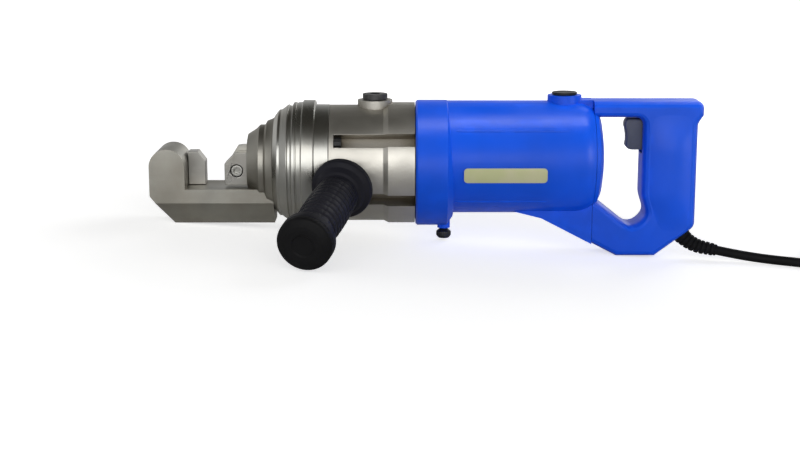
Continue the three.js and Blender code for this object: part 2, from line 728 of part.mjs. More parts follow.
function motorHousing() {
  const collar = turned([
    [GAP, 0], [GAP, COLLAR_RADIUS - 1.5], [GAP + 1.5, COLLAR_RADIUS], [COLLAR_LENGTH - 2, COLLAR_RADIUS],
    [COLLAR_LENGTH + 3, 45], [COLLAR_LENGTH + 3, 0],
  ]);
  const barrel = onMotor(turned([
    [COLLAR_LENGTH - 4, 0], [COLLAR_LENGTH - 4, BARREL_RADIUS], [BARREL_ROUND_X, BARREL_RADIUS],
    [BARREL_ROUND_X + 6, BARREL_RADIUS - 0.9], [BARREL_BACK - 3.5, BARREL_RADIUS - 2.6],
    [BARREL_BACK, BARREL_BACK_RADIUS], [BARREL_BACK, 0],
  ]));
  const boss = join(
    post(BRUSH_X, 0, MOTOR_Z + 30, BOSS_TOP, 14),
    block([BRUSH_X + 6, -9, MOTOR_Z + 30], [BARREL_BACK, 9, MOTOR_Z + BARREL_RADIUS + 1.4]),
  );
  const knobBoss = post(KNOB_X, 0, -55, -40, 5.5, SMALL_ROUND);
  const bridge = block([REAR_BEARING_X, -39, -13], [BARREL_BACK, 39, 13]).translate(0, 0, MOTOR_Z);
  const hollow = join(
    disc(-1, COLLAR_LENGTH, 48, ROUND),
    onMotor(disc(COLLAR_LENGTH - 1, BARREL_ROUND_X + 1, BARREL_BORE, ROUND)),
    onMotor(disc(BARREL_ROUND_X, BARREL_BACK + 1, BARREL_BACK_BORE, ROUND)),
  );
  const bottomCapRecess = post(BRUSH_X, 0, -70, MOTOR_Z - 49.7, 11, 24);
  const shell = cut(
    join(collar, barrel, boss, gusset(), knobBoss),
    hollow,
    post(BRUSH_X, 0, MOTOR_Z, 70, CAP_BORE, 24),
    post(BRUSH_X, 0, -50, MOTOR_Z, CAP_BORE, 24),
    bottomCapRecess,
    post(KNOB_X, 0, -60, -40, 3.3, SMALL_ROUND),
    ...airSlots(),
  );
  const seat = onMotor(disc(REAR_BEARING_X - 1, BARREL_BACK + 1, BEARING_RADIUS + GAP));
  return cut(join(shell, bridge), seat);
}

// The plate on the near side of the barrel, bent to its curve.
function namePlate() {
  const band = onMotor(ring(39, 108, BARREL_RADIUS + GAP, BARREL_RADIUS + 1.1, 2 * ROUND));
  const window = new THREE.Shape();
  const [low, high, soft] = [-9.6, 2.6, 3];
  window.moveTo(39 + soft, low);
  window.lineTo(106 - soft, low);
  window.absarc(106 - soft, low + soft, soft, -Math.PI / 2, 0);
  window.absarc(106 - soft, high - soft, soft, 0, Math.PI / 2);
  window.absarc(39 + soft, high - soft, soft, Math.PI / 2, Math.PI);
  window.absarc(39 + soft, low + soft, soft, Math.PI, 1.5 * Math.PI);
  return common(band, sidePrism(window, -60, -20, { curveSegments: 5 }));
}

// ---------------------------------------------------------------------------------------------
// Release valve
// ---------------------------------------------------------------------------------------------
// A fluted knob on the stem that opens the valve.
function releaseValveKnob() {
  const knob = post(KNOB_X, 0, -63.8, -56, 6.2, 24);
  const flutes = [0, 1, 2, 3, 4, 5].map((i) => {
    const angle = (Math.PI * i) / 3;
    return post(KNOB_X + 7.2 * Math.cos(angle), 7.2 * Math.sin(angle), -65, -55, 1.8, 10);
  });
  return join(cut(knob, ...flutes), post(KNOB_X, 0, -60, -48.4, 3, SMALL_ROUND));
}

// ---------------------------------------------------------------------------------------------
// D-handle
// ---------------------------------------------------------------------------------------------
const HANDLE_FRONT = BARREL_BACK + GAP;

// The side outline of the handle, and that of the opening for the hand, as (x, z, corner radius).
function handleOutline() {
  const front = HANDLE_FRONT - 20; // trimmed off where the handle meets the barrel
  return rounded([
    [front, gussetZ(front)], [FOOT_FRONT, FOOT_Z], [FOOT_BACK, FOOT_Z], [HANDLE_BACK, HEEL_Z, 8],
    [HANDLE_BACK, 34, 7], [HANDLE_LIP, 41], [HANDLE_LIP, HANDLE_TOP, 5.5], [front, HANDLE_TOP],
  ]);
}

function openingOutline() {
  return rounded([
    [140, 39], [140, -22.3], [180, -54, 10], [192, -42, 9], [187, -26, 20], [187, 39, 6],
  ]);
}

// Moves each side of a closed outline inwards by a distance (outwards when negative).
function inset(points, distance) {
  const loop = points.filter((p, i) => p.distanceTo(points[(i + 1) % points.length]) > 0.01);
  const area = THREE.ShapeUtils.area(loop);
  return loop.map((point, i) => {
    const before = point.clone().sub(loop.at(i - 1)).normalize();
    const after = loop[(i + 1) % loop.length].clone().sub(point).normalize();
    const normal = (side) => new THREE.Vector2(-side.y, side.x).multiplyScalar(Math.sign(area));
    const miter = normal(before).add(normal(after)).normalize();
    return point.clone().addScaledVector(miter, distance / miter.dot(normal(after)));
  });
}

function ringShape(outer, hole) {
  const shape = new THREE.Shape(outer);
  shape.holes.push(new THREE.Path(hole));
  return shape;
}

function dome(radius, depth) {
  const steps = 4;
  const profile = [[HANDLE_FRONT, 0], [HANDLE_FRONT, radius]];
  for (let i = 1; i <= steps; i += 1) {
    const angle = (Math.PI / 2) * (i / steps);
    const bulge = Math.sin(angle) * depth;
    profile.push([HANDLE_FRONT + bulge, i === steps ? 0 : radius * Math.cos(angle) ** 0.62]);
  }
  return onMotor(turned(profile, ROUND));
}

function handleShell() {
  const outer = sidePrism(ringShape(handleOutline(), openingOutline()), -HANDLE_HALF_WIDTH,
    HANDLE_HALF_WIDTH, { bevelThickness: 8, bevelSize: 4.5, bevelOffset: -4.5, bevelSegments: 3 });
  const pocketShape = ringShape(inset(handleOutline(), WALL), inset(openingOutline(), -WALL));
  const pocket = sidePrism(pocketShape, -10.5, 10.5);
  const domeHollow = onMotor(disc(BARREL_BACK - 1, BARREL_BACK + 5, BARREL_BACK_RADIUS - 9, ROUND));
  const triggerSlot = join(block([182, -8.4, 8.5], [197, 8.4, 38.4]), pivotPin(9.2, 2.5));
  const { direction } = cordExit();
  const glandHole = aim(disc(-8, 3, 5.6, SMALL_ROUND), direction, CORD_EXIT);
  const screwHoles = handleScrewPlaces().map(([x, z]) => join(
    crossPost(x, z, 14, HANDLE_HALF_WIDTH + 1, 3.6),
    crossPost(x, z, -13, HANDLE_HALF_WIDTH, 1.6, 12),
  ));
  const pillars = handleScrewPlaces().map(([x, z]) => crossPost(x, z, -12, 12, 4.8));
  const hollowed = cut(join(outer, dome(BARREL_BACK_RADIUS, 8.5)), pocket, domeHollow);
  return cut(join(hollowed, ...pillars), triggerSlot, glandHole, ...screwHoles);
}

// Places of the screws that hold the two halves together, as (x, z).
const handleScrewPlaces = () => [[162, 45.7], [226, 45.7], [222, -46], [174, -65]];

function handleHalf(side) {
  const reach = 80;
  const low = side < 0 ? -reach : GAP / 2;
  const high = side < 0 ? -GAP / 2 : reach;
  return common(handleShell(), block([HANDLE_FRONT, low, -100], [HANDLE_LIP + 10, high, 100]));
}

// ---------------------------------------------------------------------------------------------
// Trigger and switch
// ---------------------------------------------------------------------------------------------
function trigger() {
  const shape = new THREE.Shape();
  shape.moveTo(190.5, 37.2);
  shape.lineTo(176, 37.2);
  shape.quadraticCurveTo(172.5, 36.5, 172.8, 31);
  shape.quadraticCurveTo(175.5, 22, 174, 15);
  shape.quadraticCurveTo(174.5, 11.5, 180, 11.5);
  shape.lineTo(189, 11.5);
  const body = sidePrism(shape, -7.6, 7.6, {
    bevelThickness: 1.5, bevelSize: 1.5, bevelOffset: -1.5, bevelSegments: 2, curveSegments: 5,
  });
  return join(body, pivotPin(8.9, 2.2));
}

// A pin across the handle at the trigger's pivot.
function pivotPin(reach, radius) {
  return crossPost(TRIGGER_PIVOT.x, TRIGGER_PIVOT.z, -reach, reach, radius, 16);
}

function switchBody() {
  return cut(
    block([199, -9, -16], [227, 9, 31]),
    block([203, -10, -17], [223, 10, -12]),
  );
}

function triggerSpring() {
  return coilSpring(191.3, 198, 3, 0.6, 3).translate(0, 0, 18);
}

// ---------------------------------------------------------------------------------------------
// Side handle
// ---------------------------------------------------------------------------------------------
const SIDE_GRIP_START = 16;
const SIDE_LENGTH = 112;
const SIDE_FLANGE_RADIUS = 24.5;
const SIDE_END_RADIUS = 21.5;
const onSide = (geometry) => aim(geometry, SIDE_DIRECTION, SIDE_SEAT);

function sideHandleStud() {
  return onSide(join(disc(-11, 0.5, 6, SMALL_ROUND), disc(0, 60, 5, SMALL_ROUND)));
}

// One moulding: a broad flange against the pump case, then a ribbed grip.
function sideHandleGrip() {
  const end = SIDE_LENGTH - 8;
  const ribs = 5;
  const profile = [
    [GAP, 6.3], [GAP, SIDE_FLANGE_RADIUS - 4], [3, SIDE_FLANGE_RADIUS], [9, SIDE_FLANGE_RADIUS],
    [SIDE_GRIP_START, 19], [SIDE_GRIP_START + 1, 17],
  ];
  for (let i = 0; i < ribs; i += 1) {
    const x = SIDE_GRIP_START + 8 + i * 14;
    const swell = 16.5 + 1.5 * Math.sin((Math.PI * (i + 0.5)) / ribs);
    profile.push([x, swell], [x + 9, swell], [x + 11, swell - 1.2]);
  }
  profile.push(
    [end - 11, 16.5], [end - 7, SIDE_END_RADIUS], [end - GAP, SIDE_END_RADIUS], [end - GAP, 0], [62, 0],
    [62, 5.3], [SIDE_GRIP_START, 5.3], [SIDE_GRIP_START, 6.3], [GAP, 6.3],
  );
  return onSide(turned(profile, MID_ROUND));
}

function sideHandleEndCap() {
  const end = SIDE_LENGTH;
  const radius = SIDE_END_RADIUS;
  return onSide(turned([
    [end - 8, 0], [end - 8, radius], [end - 3, radius - 0.2], [end - 1, radius - 2.5],
    [end, radius - 7.5], [end, 0],
  ]));
}

// ---------------------------------------------------------------------------------------------
// Mains cord, in the ground's frame
// ---------------------------------------------------------------------------------------------
// Where the cord leaves the heel of the handle, and the way it points there, in the tool's frame.
function cordExit() {
  const chamfer = new THREE.Vector3(HANDLE_BACK - FOOT_BACK, 0, HEEL_Z - FOOT_Z).normalize();
  return { direction: new THREE.Vector3(chamfer.z, 0, -chamfer.x) };
}

const onGround = (point) => point.clone()
  .applyAxisAngle(new THREE.Vector3(0, 1, 0), -REST_PITCH)
  .add(new THREE.Vector3(0, 0, REST_HEIGHT));

// The first stretch of the cord bends from the heel to almost level.
const RELIEF_LENGTH = 36;
const FIRST_BEND = 34;
const LEVEL_ANGLE = THREE.MathUtils.degToRad(8);

class ReliefCurve extends THREE.Curve {
  constructor() {
    super();
    const { direction } = cordExit();
    this.start = onGround(CORD_EXIT);
    this.steep = Math.atan2(-direction.z, direction.x) - REST_PITCH;
  }

  getPoint(t, target = new THREE.Vector3()) {
    const travelled = t * RELIEF_LENGTH;
    const bend = Math.min(travelled / FIRST_BEND, this.steep - LEVEL_ANGLE);
    const angle = this.steep - bend;
    const rest = travelled - bend * FIRST_BEND;
    const x = FIRST_BEND * (Math.sin(this.steep) - Math.sin(angle)) + rest * Math.cos(angle);
    const z = FIRST_BEND * (Math.cos(angle) - Math.cos(this.steep)) + rest * Math.sin(angle);
    return target.set(this.start.x + x, 0, this.start.z - z);
  }
}

// A tapered sleeve with ribs, bent along the cord's first stretch.
function strainRelief() {
  const curve = new ReliefCurve();
  const ribs = 5;
  const profile = [[-6, 0], [-6, 5.2], [1, 5.2], [1, 7.2], [5, 7.2]];
  for (let i = 0; i < ribs; i += 1) {
    const x = 6 + i * 5.6;
    const radius = 6.6 - 0.28 * i;
    profile.push([x, radius - 1], [x + 1.8, radius], [x + 5, radius - 0.1]);
  }
  profile.push([RELIEF_LENGTH, 4.9], [RELIEF_LENGTH, 0]);
  const geometry = turned(profile, SMALL_ROUND);
  const position = geometry.attributes.position;
  for (let i = 0; i < position.count; i += 1) {
    const [x, y, z] = [position.getX(i), position.getY(i), position.getZ(i)];
    const t = x / RELIEF_LENGTH;
    const centre = curve.getPoint(Math.max(t, 0));
    const ahead = curve.getPoint(Math.max(t, 0) + 0.01).sub(centre).normalize();
    const up = new THREE.Vector3(-ahead.z, 0, ahead.x);
    const place = centre.addScaledVector(up, z).addScaledVector(ahead, Math.min(x, 0));
    position.setXYZ(i, place.x, y, place.z);
  }
  return geometry;
}

// The stretch that lies on the ground, to where it meets the coil.
const GROUND_ROUTE = [
  [276, 0, 6.2], [292, -0.5, 4.8], [308, -2, 4.2], [324, -4.5, 4.2], [340, -7.5, 4.2], [355, -10, 4.2],
  [368, -11.5, 4.2],
];
function cordTube(points) {
  const curve = new THREE.CatmullRomCurve3(points, false, "centripetal");
  const section = new THREE.Shape().absarc(0, 0, CORD_RADIUS, 0, 2 * Math.PI);
  return new THREE.ExtrudeGeometry(section, {
    steps: Math.ceil(curve.getLength() / (5 * CORD_RADIUS)) + 2,
    curveSegments: 5, // half the sides of the cord
    extrudePath: curve,
    bevelEnabled: false,
  });
}

const toVectors = (points) => points.map((point) => new THREE.Vector3(...point));

function powerCord() {
  const curve = new ReliefCurve();
  const start = curve.getPoint((RELIEF_LENGTH + GAP) / RELIEF_LENGTH);
  return cordTube([start, ...toVectors(GROUND_ROUTE)]);
}

function cordCoil() {
  const soft = 5;
  const [inner, outer, top] = [COIL_INNER, COIL_OUTER, COIL_HEIGHT];
  const profile = [
    [0, inner + soft], [0, outer - soft], [soft, outer], [top - soft, outer], [top, outer - soft],
    [top, inner + soft], [top - soft, inner], [soft, inner], [0, inner + soft],
  ];
  return turned(profile, 28).rotateY(-Math.PI / 2).translate(COIL_CENTRE.x, COIL_CENTRE.y, 0.1);
}

// A strap over the coil, on its far side.
function cordTie() {
  const [inner, outer, top] = [COIL_INNER - 1.5, COIL_OUTER + 0.6, COIL_HEIGHT + 0.6];
  const thick = 1.4;
  const strap = cut(
    block([-6, inner - thick, 1], [6, outer + thick, top + thick]),
    block([-7, inner, 0], [7, outer, top]),
  );
  return strap.translate(COIL_CENTRE.x, COIL_CENTRE.y, 0);
}

function mainsPlug() {
  const [x, front, z] = [COIL_CENTRE.x + 52, COIL_CENTRE.y + 34, 9.2];
  const shape = new THREE.Shape();
  shape.moveTo(-5.5, 0);
  shape.quadraticCurveTo(-7, 12, -13, 15);
  shape.lineTo(-13, 36);
  shape.lineTo(13, 36);
  shape.lineTo(13, 15);
  shape.quadraticCurveTo(7, 12, 5.5, 0);
  const body = new THREE.ExtrudeGeometry(shape, {
    depth: 11, bevelEnabled: true, bevelThickness: 3, bevelSize: 2.5, bevelOffset: -2.5,
    bevelSegments: 2, curveSegments: 6,
  }).translate(0, 0, -5.5);
  const pins = [-9.5, 9.5].map((side) =>
    disc(35, 55, 2.4, 12).rotateZ(Math.PI / 2).translate(side, 0, 0));
  return join(body, ...pins).translate(x, front, z);
}

// ---------------------------------------------------------------------------------------------
// Assembly
// ---------------------------------------------------------------------------------------------
function addTo(group, name, geometry, material) {
  geometry.computeVertexNormals();
  const mesh = new THREE.Mesh(geometry, material);
  mesh.name = name;
  group.add(mesh);
}

function buildTool() {
  const tool = new THREE.Group();
  const add = (name, geometry, material) => addTo(tool, name, geometry, material);
  const m = MATERIALS;

  add("cutter_head", cutterHead(), m.forgedSteel);
  add("fixed_cutter_block", fixedCutterBlock(), m.toolSteel);
  add("fixed_cutter_screw", fixedCutterScrew(), m.machinedSteel);
  add("moving_cutter_block", movingCutterBlock(), m.toolSteel);
  add("moving_cutter_screw", movingCutterScrew(), m.machinedSteel);
  add("piston_rod", pistonRod(), m.machinedSteel);
  add("piston", piston(), m.machinedSteel);
  add("piston_seal", ring(SEAL_FRONT + GAP, SEAL_BACK - GAP, BORE_RADIUS - 3.6, BORE_RADIUS - GAP, ROUND), m.rubber);
  const springFront = BORE_FRONT + 2.4;
  const springBack = PISTON_FRONT - 2.4;
  add("return_spring", coilSpring(springFront, springBack, 24, 2, 6), m.machinedSteel);
  add("wiper_seal", ring(CYLINDER_FRONT + 0.5, CYLINDER_FRONT + 4.2, ROD_RADIUS + GAP, 21.7), m.rubber);
  add("rod_guide", ring(CYLINDER_FRONT + 4.5, BORE_FRONT - GAP, ROD_RADIUS + GAP, 21.7), m.brassPin);
  add("cylinder", cylinder(), m.machinedSteel);
  add("pump_case", pumpCase(), m.castAluminium);
  boltPlaces().forEach((place, i) => add(`case_bolt_${i + 1}`, caseBolt(place), m.blackSteel));
  add("oil_filler_plug", oilFillerPlug(), m.blackSteel);
  add("pump_block", pumpBlock(), m.castAluminium);
  add("pump_plunger", pumpPlunger(), m.bearingSteel);
  add("plunger_spring", plungerSpring(), m.machinedSteel);
  add("oil_bladder", oilBladder(), m.rubber);

  add("gear_case", gearCase(), m.castAluminium);
  add("gear_cover", gearCover(), m.castAluminium);
  add("eccentric_shaft", eccentricShaft(), m.machinedSteel);
  add("eccentric_bearing", eccentricBearing(), m.bearingSteel);
  add("eccentric_gear", eccentricGear(), m.machinedSteel);
  add("shaft_bearing_front", bearing(1.2, ECCENTRIC_Z), m.bearingSteel);
  add("shaft_bearing_rear", bearing(COVER_FRONT + 0.5, ECCENTRIC_Z), m.bearingSteel);
  add("armature_shaft", armatureShaft(), m.machinedSteel);
  add("armature_core", armatureCore(), m.laminations);
  add("armature_winding", armatureWinding(), m.copper);
  add("commutator", commutator(), m.copper);
  add("cooling_fan", coolingFan(), m.blackPlastic);
  add("armature_bearing_front", bearing(COVER_FRONT + 0.5, MOTOR_Z), m.bearingSteel);
  add("armature_bearing_rear", bearing(REAR_BEARING_X + 0.2, MOTOR_Z), m.bearingSteel);
  add("stator_core", statorCore(), m.laminations);
  add("stator_winding", statorWinding(), m.copper);
  for (const [side, name] of [[1, "top"], [-1, "bottom"]]) {
    add(`brush_holder_${name}`, brushHolder(side), m.brassPin);
    add(`carbon_brush_${name}`, carbonBrush(side), m.carbon);
    add(`brush_cap_${name}`, brushCap(side), m.blackPlastic);
  }
  add("motor_housing", motorHousing(), m.bluePlastic);
  add("name_plate", namePlate(), m.plate);
  add("release_valve_knob", releaseValveKnob(), m.blackSteel);

  add("handle_half_near", handleHalf(-1), m.bluePlastic);
  add("handle_half_far", handleHalf(1), m.bluePlastic);
  add("trigger", trigger(), m.darkPlastic);
  add("trigger_spring", triggerSpring(), m.machinedSteel);
  add("switch_body", switchBody(), m.blackPlastic);

  add("side_handle_stud", sideHandleStud(), m.machinedSteel);
  add("side_handle_grip", sideHandleGrip(), m.softGrip);
  add("side_handle_end_cap", sideHandleEndCap(), m.rubber);

  tool.rotation.y = -REST_PITCH;
  tool.position.z = REST_HEIGHT;
  return tool;
}

const cutter = new THREE.Group();
const tool = buildTool();
cutter.add(tool);
addTo(cutter, "strain_relief", strainRelief(), MATERIALS.rubber);
addTo(cutter, "power_cord", powerCord(), MATERIALS.rubber);
addTo(cutter, "cord_coil", cordCoil(), MATERIALS.rubber);
addTo(cutter, "cord_tie", cordTie(), MATERIALS.blackPlastic);
addTo(cutter, "mains_plug", mainsPlug(), MATERIALS.blackPlastic);

// The origin is on the ground, under the middle of the tool without its cord.
tool.updateMatrixWorld(true);
const middle = new THREE.Box3().setFromObject(tool, true).getCenter(new THREE.Vector3());
cutter.position.set(-middle.x, -middle.y, 0);

export default cutter;
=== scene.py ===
"""The looks of a portable electric-hydraulic rebar cutter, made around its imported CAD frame.

Shapes are worked out in the tool's own frame, in millimetres: x runs along the piston towards the
D-handle, x = 0 is where the metal pump case meets the blue motor housing, and z is up when the
tool is level. TO_ROW takes them to the row frame, in metres, where the tool stands nose-down.
"""
import json
import math

import bmesh
import bpy
from mathutils import Matrix, Vector

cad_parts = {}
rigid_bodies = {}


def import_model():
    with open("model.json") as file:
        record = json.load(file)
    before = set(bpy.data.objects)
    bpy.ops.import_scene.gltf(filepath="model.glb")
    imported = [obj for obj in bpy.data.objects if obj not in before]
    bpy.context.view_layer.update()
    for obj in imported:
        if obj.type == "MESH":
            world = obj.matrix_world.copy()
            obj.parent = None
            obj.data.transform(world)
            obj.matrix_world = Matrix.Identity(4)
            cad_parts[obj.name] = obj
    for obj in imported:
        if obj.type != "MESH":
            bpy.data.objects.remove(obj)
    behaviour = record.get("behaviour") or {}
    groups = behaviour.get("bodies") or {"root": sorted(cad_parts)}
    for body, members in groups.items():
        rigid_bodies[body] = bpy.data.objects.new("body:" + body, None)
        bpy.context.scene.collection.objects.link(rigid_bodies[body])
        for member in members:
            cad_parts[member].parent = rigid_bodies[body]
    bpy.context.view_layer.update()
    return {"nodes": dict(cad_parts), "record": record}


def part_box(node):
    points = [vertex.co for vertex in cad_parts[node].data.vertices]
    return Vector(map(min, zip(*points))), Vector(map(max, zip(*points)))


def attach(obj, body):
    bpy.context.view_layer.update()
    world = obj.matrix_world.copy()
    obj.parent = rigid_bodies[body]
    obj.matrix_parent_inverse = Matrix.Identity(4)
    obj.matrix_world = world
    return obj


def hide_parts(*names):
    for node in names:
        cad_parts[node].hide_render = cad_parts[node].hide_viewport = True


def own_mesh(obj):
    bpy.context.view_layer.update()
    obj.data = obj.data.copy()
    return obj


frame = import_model()
NODES = frame["nodes"]
MM = 0.001


# ------------------------------------------------------------------------------------------
# The tool's own frame, from the motor's axis
# ------------------------------------------------------------------------------------------
def joint(name):
    joints = frame["record"]["behaviour"]["joints"]
    return next(j for j in joints if j["name"] == name)


MOTOR_JOINT_X = 80  # where the motor's joint stands on its axis
MOTOR_Z = 5  # the motor's axis above the piston's
ALONG = Vector(joint("armature_spin")["axis"]).normalized()
UP = Vector((-ALONG.z, 0, ALONG.x))
PITCH = math.atan2(ALONG.z, ALONG.x)
TOOL_ORIGIN = Vector(joint("armature_spin")["pos_m"]) - (ALONG * MOTOR_JOINT_X + UP * MOTOR_Z) * MM
TURN = Matrix((ALONG, (0, 1, 0), UP)).transposed().to_4x4()
TO_ROW = Matrix.Translation(TOOL_ORIGIN) @ TURN @ Matrix.Scale(MM, 4)


def row_point(x, y, z):
    return TO_ROW @ Vector((x, y, z))


# ------------------------------------------------------------------------------------------
# Camera: square to the tool's near side, and a little above it
# ------------------------------------------------------------------------------------------
ELEVATION = math.radians(12)
DISTANCE = 1300
VIEW_WIDTH = 672  # how much the picture spans at the point aimed at
SENSOR = 36
AIM = (-12.5, 0, -62.7)


def make_camera():
    data = bpy.data.cameras.new("camera")
    data.sensor_width = SENSOR
    data.lens = SENSOR * DISTANCE / VIEW_WIDTH
    camera = bpy.data.objects.new("camera", data)
    bpy.context.scene.collection.objects.link(camera)
    back = Vector((0, -math.cos(ELEVATION), math.sin(ELEVATION)))
    up = Vector((0, math.sin(ELEVATION), math.cos(ELEVATION)))
    turn = Matrix(((1, 0, 0), up, back)).transposed().to_4x4()
    place = row_point(*(Vector(AIM) + back * DISTANCE))
    camera.matrix_world = Matrix.Translation(place) @ TURN @ turn
    bpy.context.scene.camera = camera


make_camera()


# ------------------------------------------------------------------------------------------
# Materials
# ------------------------------------------------------------------------------------------
class Shader:
    """A short way to write a node material: most methods add a node and return its output."""

    def __init__(self, name):
        self.material = bpy.data.materials.new(name)
        self.material.use_nodes = True
        self.tree = self.material.node_tree
        self.surface = self.tree.nodes["Principled BSDF"]
        coords = self.tree.nodes.new("ShaderNodeTexCoord")
        level = self.tree.nodes.new("ShaderNodeMapping")
        level.inputs["Rotation"].default_value = (0, PITCH, 0)
        self.tree.links.new(coords.outputs["Object"], level.inputs["Vector"])
        self.coords = level.outputs["Vector"]

    def link(self, output, socket):
        self.tree.links.new(output, socket)

    def stretched(self, scale):
        node = self.tree.nodes.new("ShaderNodeMapping")
        node.inputs["Scale"].default_value = scale
        self.link(self.coords, node.inputs["Vector"])
        return node.outputs["Vector"]

    def noise(self, scale, detail=3.0, stretch=None):
        node = self.tree.nodes.new("ShaderNodeTexNoise")
        node.inputs["Scale"].default_value = scale
        node.inputs["Detail"].default_value = detail
        self.link(self.stretched(stretch) if stretch else self.coords, node.inputs["Vector"])
        return node.outputs["Fac"]

    def cells(self, scale):
        node = self.tree.nodes.new("ShaderNodeTexVoronoi")
        node.inputs["Scale"].default_value = scale
        self.link(self.coords, node.inputs["Vector"])
        return node.outputs["Distance"]

    def ramp(self, value, *stops):
        node = self.tree.nodes.new("ShaderNodeValToRGB")
        elements = node.color_ramp.elements
        while len(elements) < len(stops):
            elements.new(0.5)
        for element, (place, color) in zip(elements, stops):
            element.position = place
            element.color = (*color, 1)
        self.link(value, node.inputs["Fac"])
        return node.outputs["Color"]

    def spread(self, value, low, high, start=0.3, end=0.7):
        node = self.tree.nodes.new("ShaderNodeMapRange")
        for name, number in zip(("From Min", "From Max", "To Min", "To Max"), (start, end, low, high)):
            node.inputs[name].default_value = number
        self.link(value, node.inputs["Value"])
        return node.outputs["Result"]

    def mix(self, factor, first, second):
        node = self.tree.nodes.new("ShaderNodeMix")
        node.data_type = "RGBA"
        self.link(factor, node.inputs["Factor"])
        self.link(first, node.inputs["A"])
        self.link(second, node.inputs["B"])
        return node.outputs["Result"]

    def from_origin(self):
        node = self.tree.nodes.new("ShaderNodeVectorMath")
        node.operation = "LENGTH"
        self.link(self.coords, node.inputs[0])
        return node.outputs["Value"]

    def pointiness(self):
        return self.tree.nodes.new("ShaderNodeNewGeometry").outputs["Pointiness"]

    def bump(self, *layers):
        normal = None
        for height, strength, distance in layers:
            node = self.tree.nodes.new("ShaderNodeBump")
            node.inputs["Strength"].default_value = strength
            node.inputs["Distance"].default_value = distance
            self.link(height, node.inputs["Height"])
            if normal:
                self.link(normal, node.inputs["Normal"])
            normal = node.outputs["Normal"]
        self.link(normal, self.surface.inputs["Normal"])

    def color(self, output):
        self.link(output, self.surface.inputs["Base Color"])

    def roughness(self, output):
        self.link(output, self.surface.inputs["Roughness"])

    def constant(self, **values):
        for name, value in values.items():
            self.surface.inputs[name.replace("_", " ").title().replace("Ior", "IOR")].default_value = value


def shade(color, factor):
    return tuple(min(1.0, c * factor) for c in color)


def moulded_plastic(name, color, rough, grain=900, wear=0.25):
    """Moulded plastic: a fine eroded texture, slight unevenness of colour and rubbed edges."""
    s = Shader(name)
    s.constant(specular_ior_level=0.28)
    body = s.ramp(s.noise(14, 4), (0.3, shade(color, 0.86)), (0.7, shade(color, 1.1)))
    rubbed = s.ramp(s.noise(60, 5), (0.45, color), (0.6, shade(color, 1.0 + 2 * wear)))
    edge = s.spread(s.pointiness(), 0, wear, 0.505, 0.56)
    s.color(s.mix(edge, body, rubbed))
    s.roughness(s.spread(s.noise(40, 6), rough - 0.07, rough + 0.08))
    s.bump((s.cells(grain), 0.06, 0.0002), (s.noise(grain * 0.6, 2), 0.05, 0.0002))
    return s.material


def worked_steel(name, color, rough, stain, turned=0.0, scratches=0.3):
    """Worked metal: turning rings round the tool's axis, long scratches, and a film of old oil."""
    s = Shader(name)
    s.constant(metallic=1.0)
    clean = s.ramp(s.noise(30, 5), (0.3, shade(color, 0.82)), (0.7, shade(color, 1.08)))
    oily = s.ramp(s.noise(11, 6), (0.3, stain), (0.7, shade(stain, 1.5)))
    film = s.spread(s.noise(19, 8), 0.0, 0.5, 0.4, 0.8)
    s.color(s.mix(film, clean, oily))
    s.roughness(s.spread(s.noise(26, 8), rough - 0.05, rough + 0.12))
    rings = s.noise(1, 2, (1900, 12, 12))
    brushed = s.noise(1, 3, (25, 900, 900))
    s.bump((rings, turned, 0.0003), (brushed, scratches, 0.00015))
    return s.material


def cast_metal(name, color, rough, stain):
    """Cast and tumbled light alloy: pitted skin, dull, with painted shade in the hollows: a darker, grimy
    colour laid where ambient occlusion finds them.
    """
    s = Shader(name)
    s.constant(metallic=0.9)
    clean = s.ramp(s.noise(22, 6), (0.3, shade(color, 0.85)), (0.7, shade(color, 1.08)))
    grime_and_painted_shade = s.ramp(s.noise(9, 5), (0.3, stain), (0.7, shade(stain, 1.4)))
    # painted shade: where ambient occlusion finds recesses, the colour turns towards the dark grimy stain
    shelter = s.tree.nodes.new("ShaderNodeAmbientOcclusion")
    shelter.inputs["Distance"].default_value = 0.014
    painted_hollow_shade = s.spread(shelter.outputs["AO"], 0.9, 0.0, 0.35, 0.8)
    s.color(s.mix(painted_hollow_shade, clean, grime_and_painted_shade))
    s.roughness(s.spread(s.noise(35, 7), rough - 0.08, rough + 0.1))
    s.bump((s.noise(420, 4), 0.22, 0.0004), (s.cells(700), 0.08, 0.0003))
    return s.material


def black_oxide(name):
    s = Shader(name)
    s.constant(metallic=0.85)
    dark = s.ramp(s.noise(60, 5), (0.3, (0.02, 0.02, 0.022)), (0.7, (0.05, 0.05, 0.052)))
    bright = s.ramp(s.noise(200, 3), (0.4, (0.16, 0.16, 0.16)), (0.6, (0.3, 0.3, 0.29)))
    s.color(s.mix(s.spread(s.pointiness(), 0.0, 0.7, 0.52, 0.6), dark, bright))
    s.roughness(s.spread(s.noise(90, 5), 0.36, 0.56))
    s.bump((s.noise(900, 3), 0.12, 0.0002))
    return s.material


def soft_rubber(name, color, rough=0.62):
    s = Shader(name)
    s.constant(specular_ior_level=0.16)
    dust = s.ramp(s.noise(25, 7), (0.35, color), (0.75, shade(color, 1.9)))
    s.color(dust)
    s.roughness(s.spread(s.noise(60, 6), rough - 0.08, rough + 0.14))
    s.bump((s.noise(1300, 3), 0.14, 0.0003), (s.noise(70, 2), 0.05, 0.001))
    return s.material


def wound_copper(name):
    s = Shader(name)
    s.constant(metallic=1.0)
    s.color(s.ramp(s.noise(30, 4), (0.3, (0.42, 0.15, 0.05)), (0.7, (0.72, 0.32, 0.12))))
    s.roughness(s.spread(s.noise(50, 4), 0.25, 0.42))
    s.bump((s.noise(1, 2, (1500, 60, 60)), 0.6, 0.0005))
    return s.material


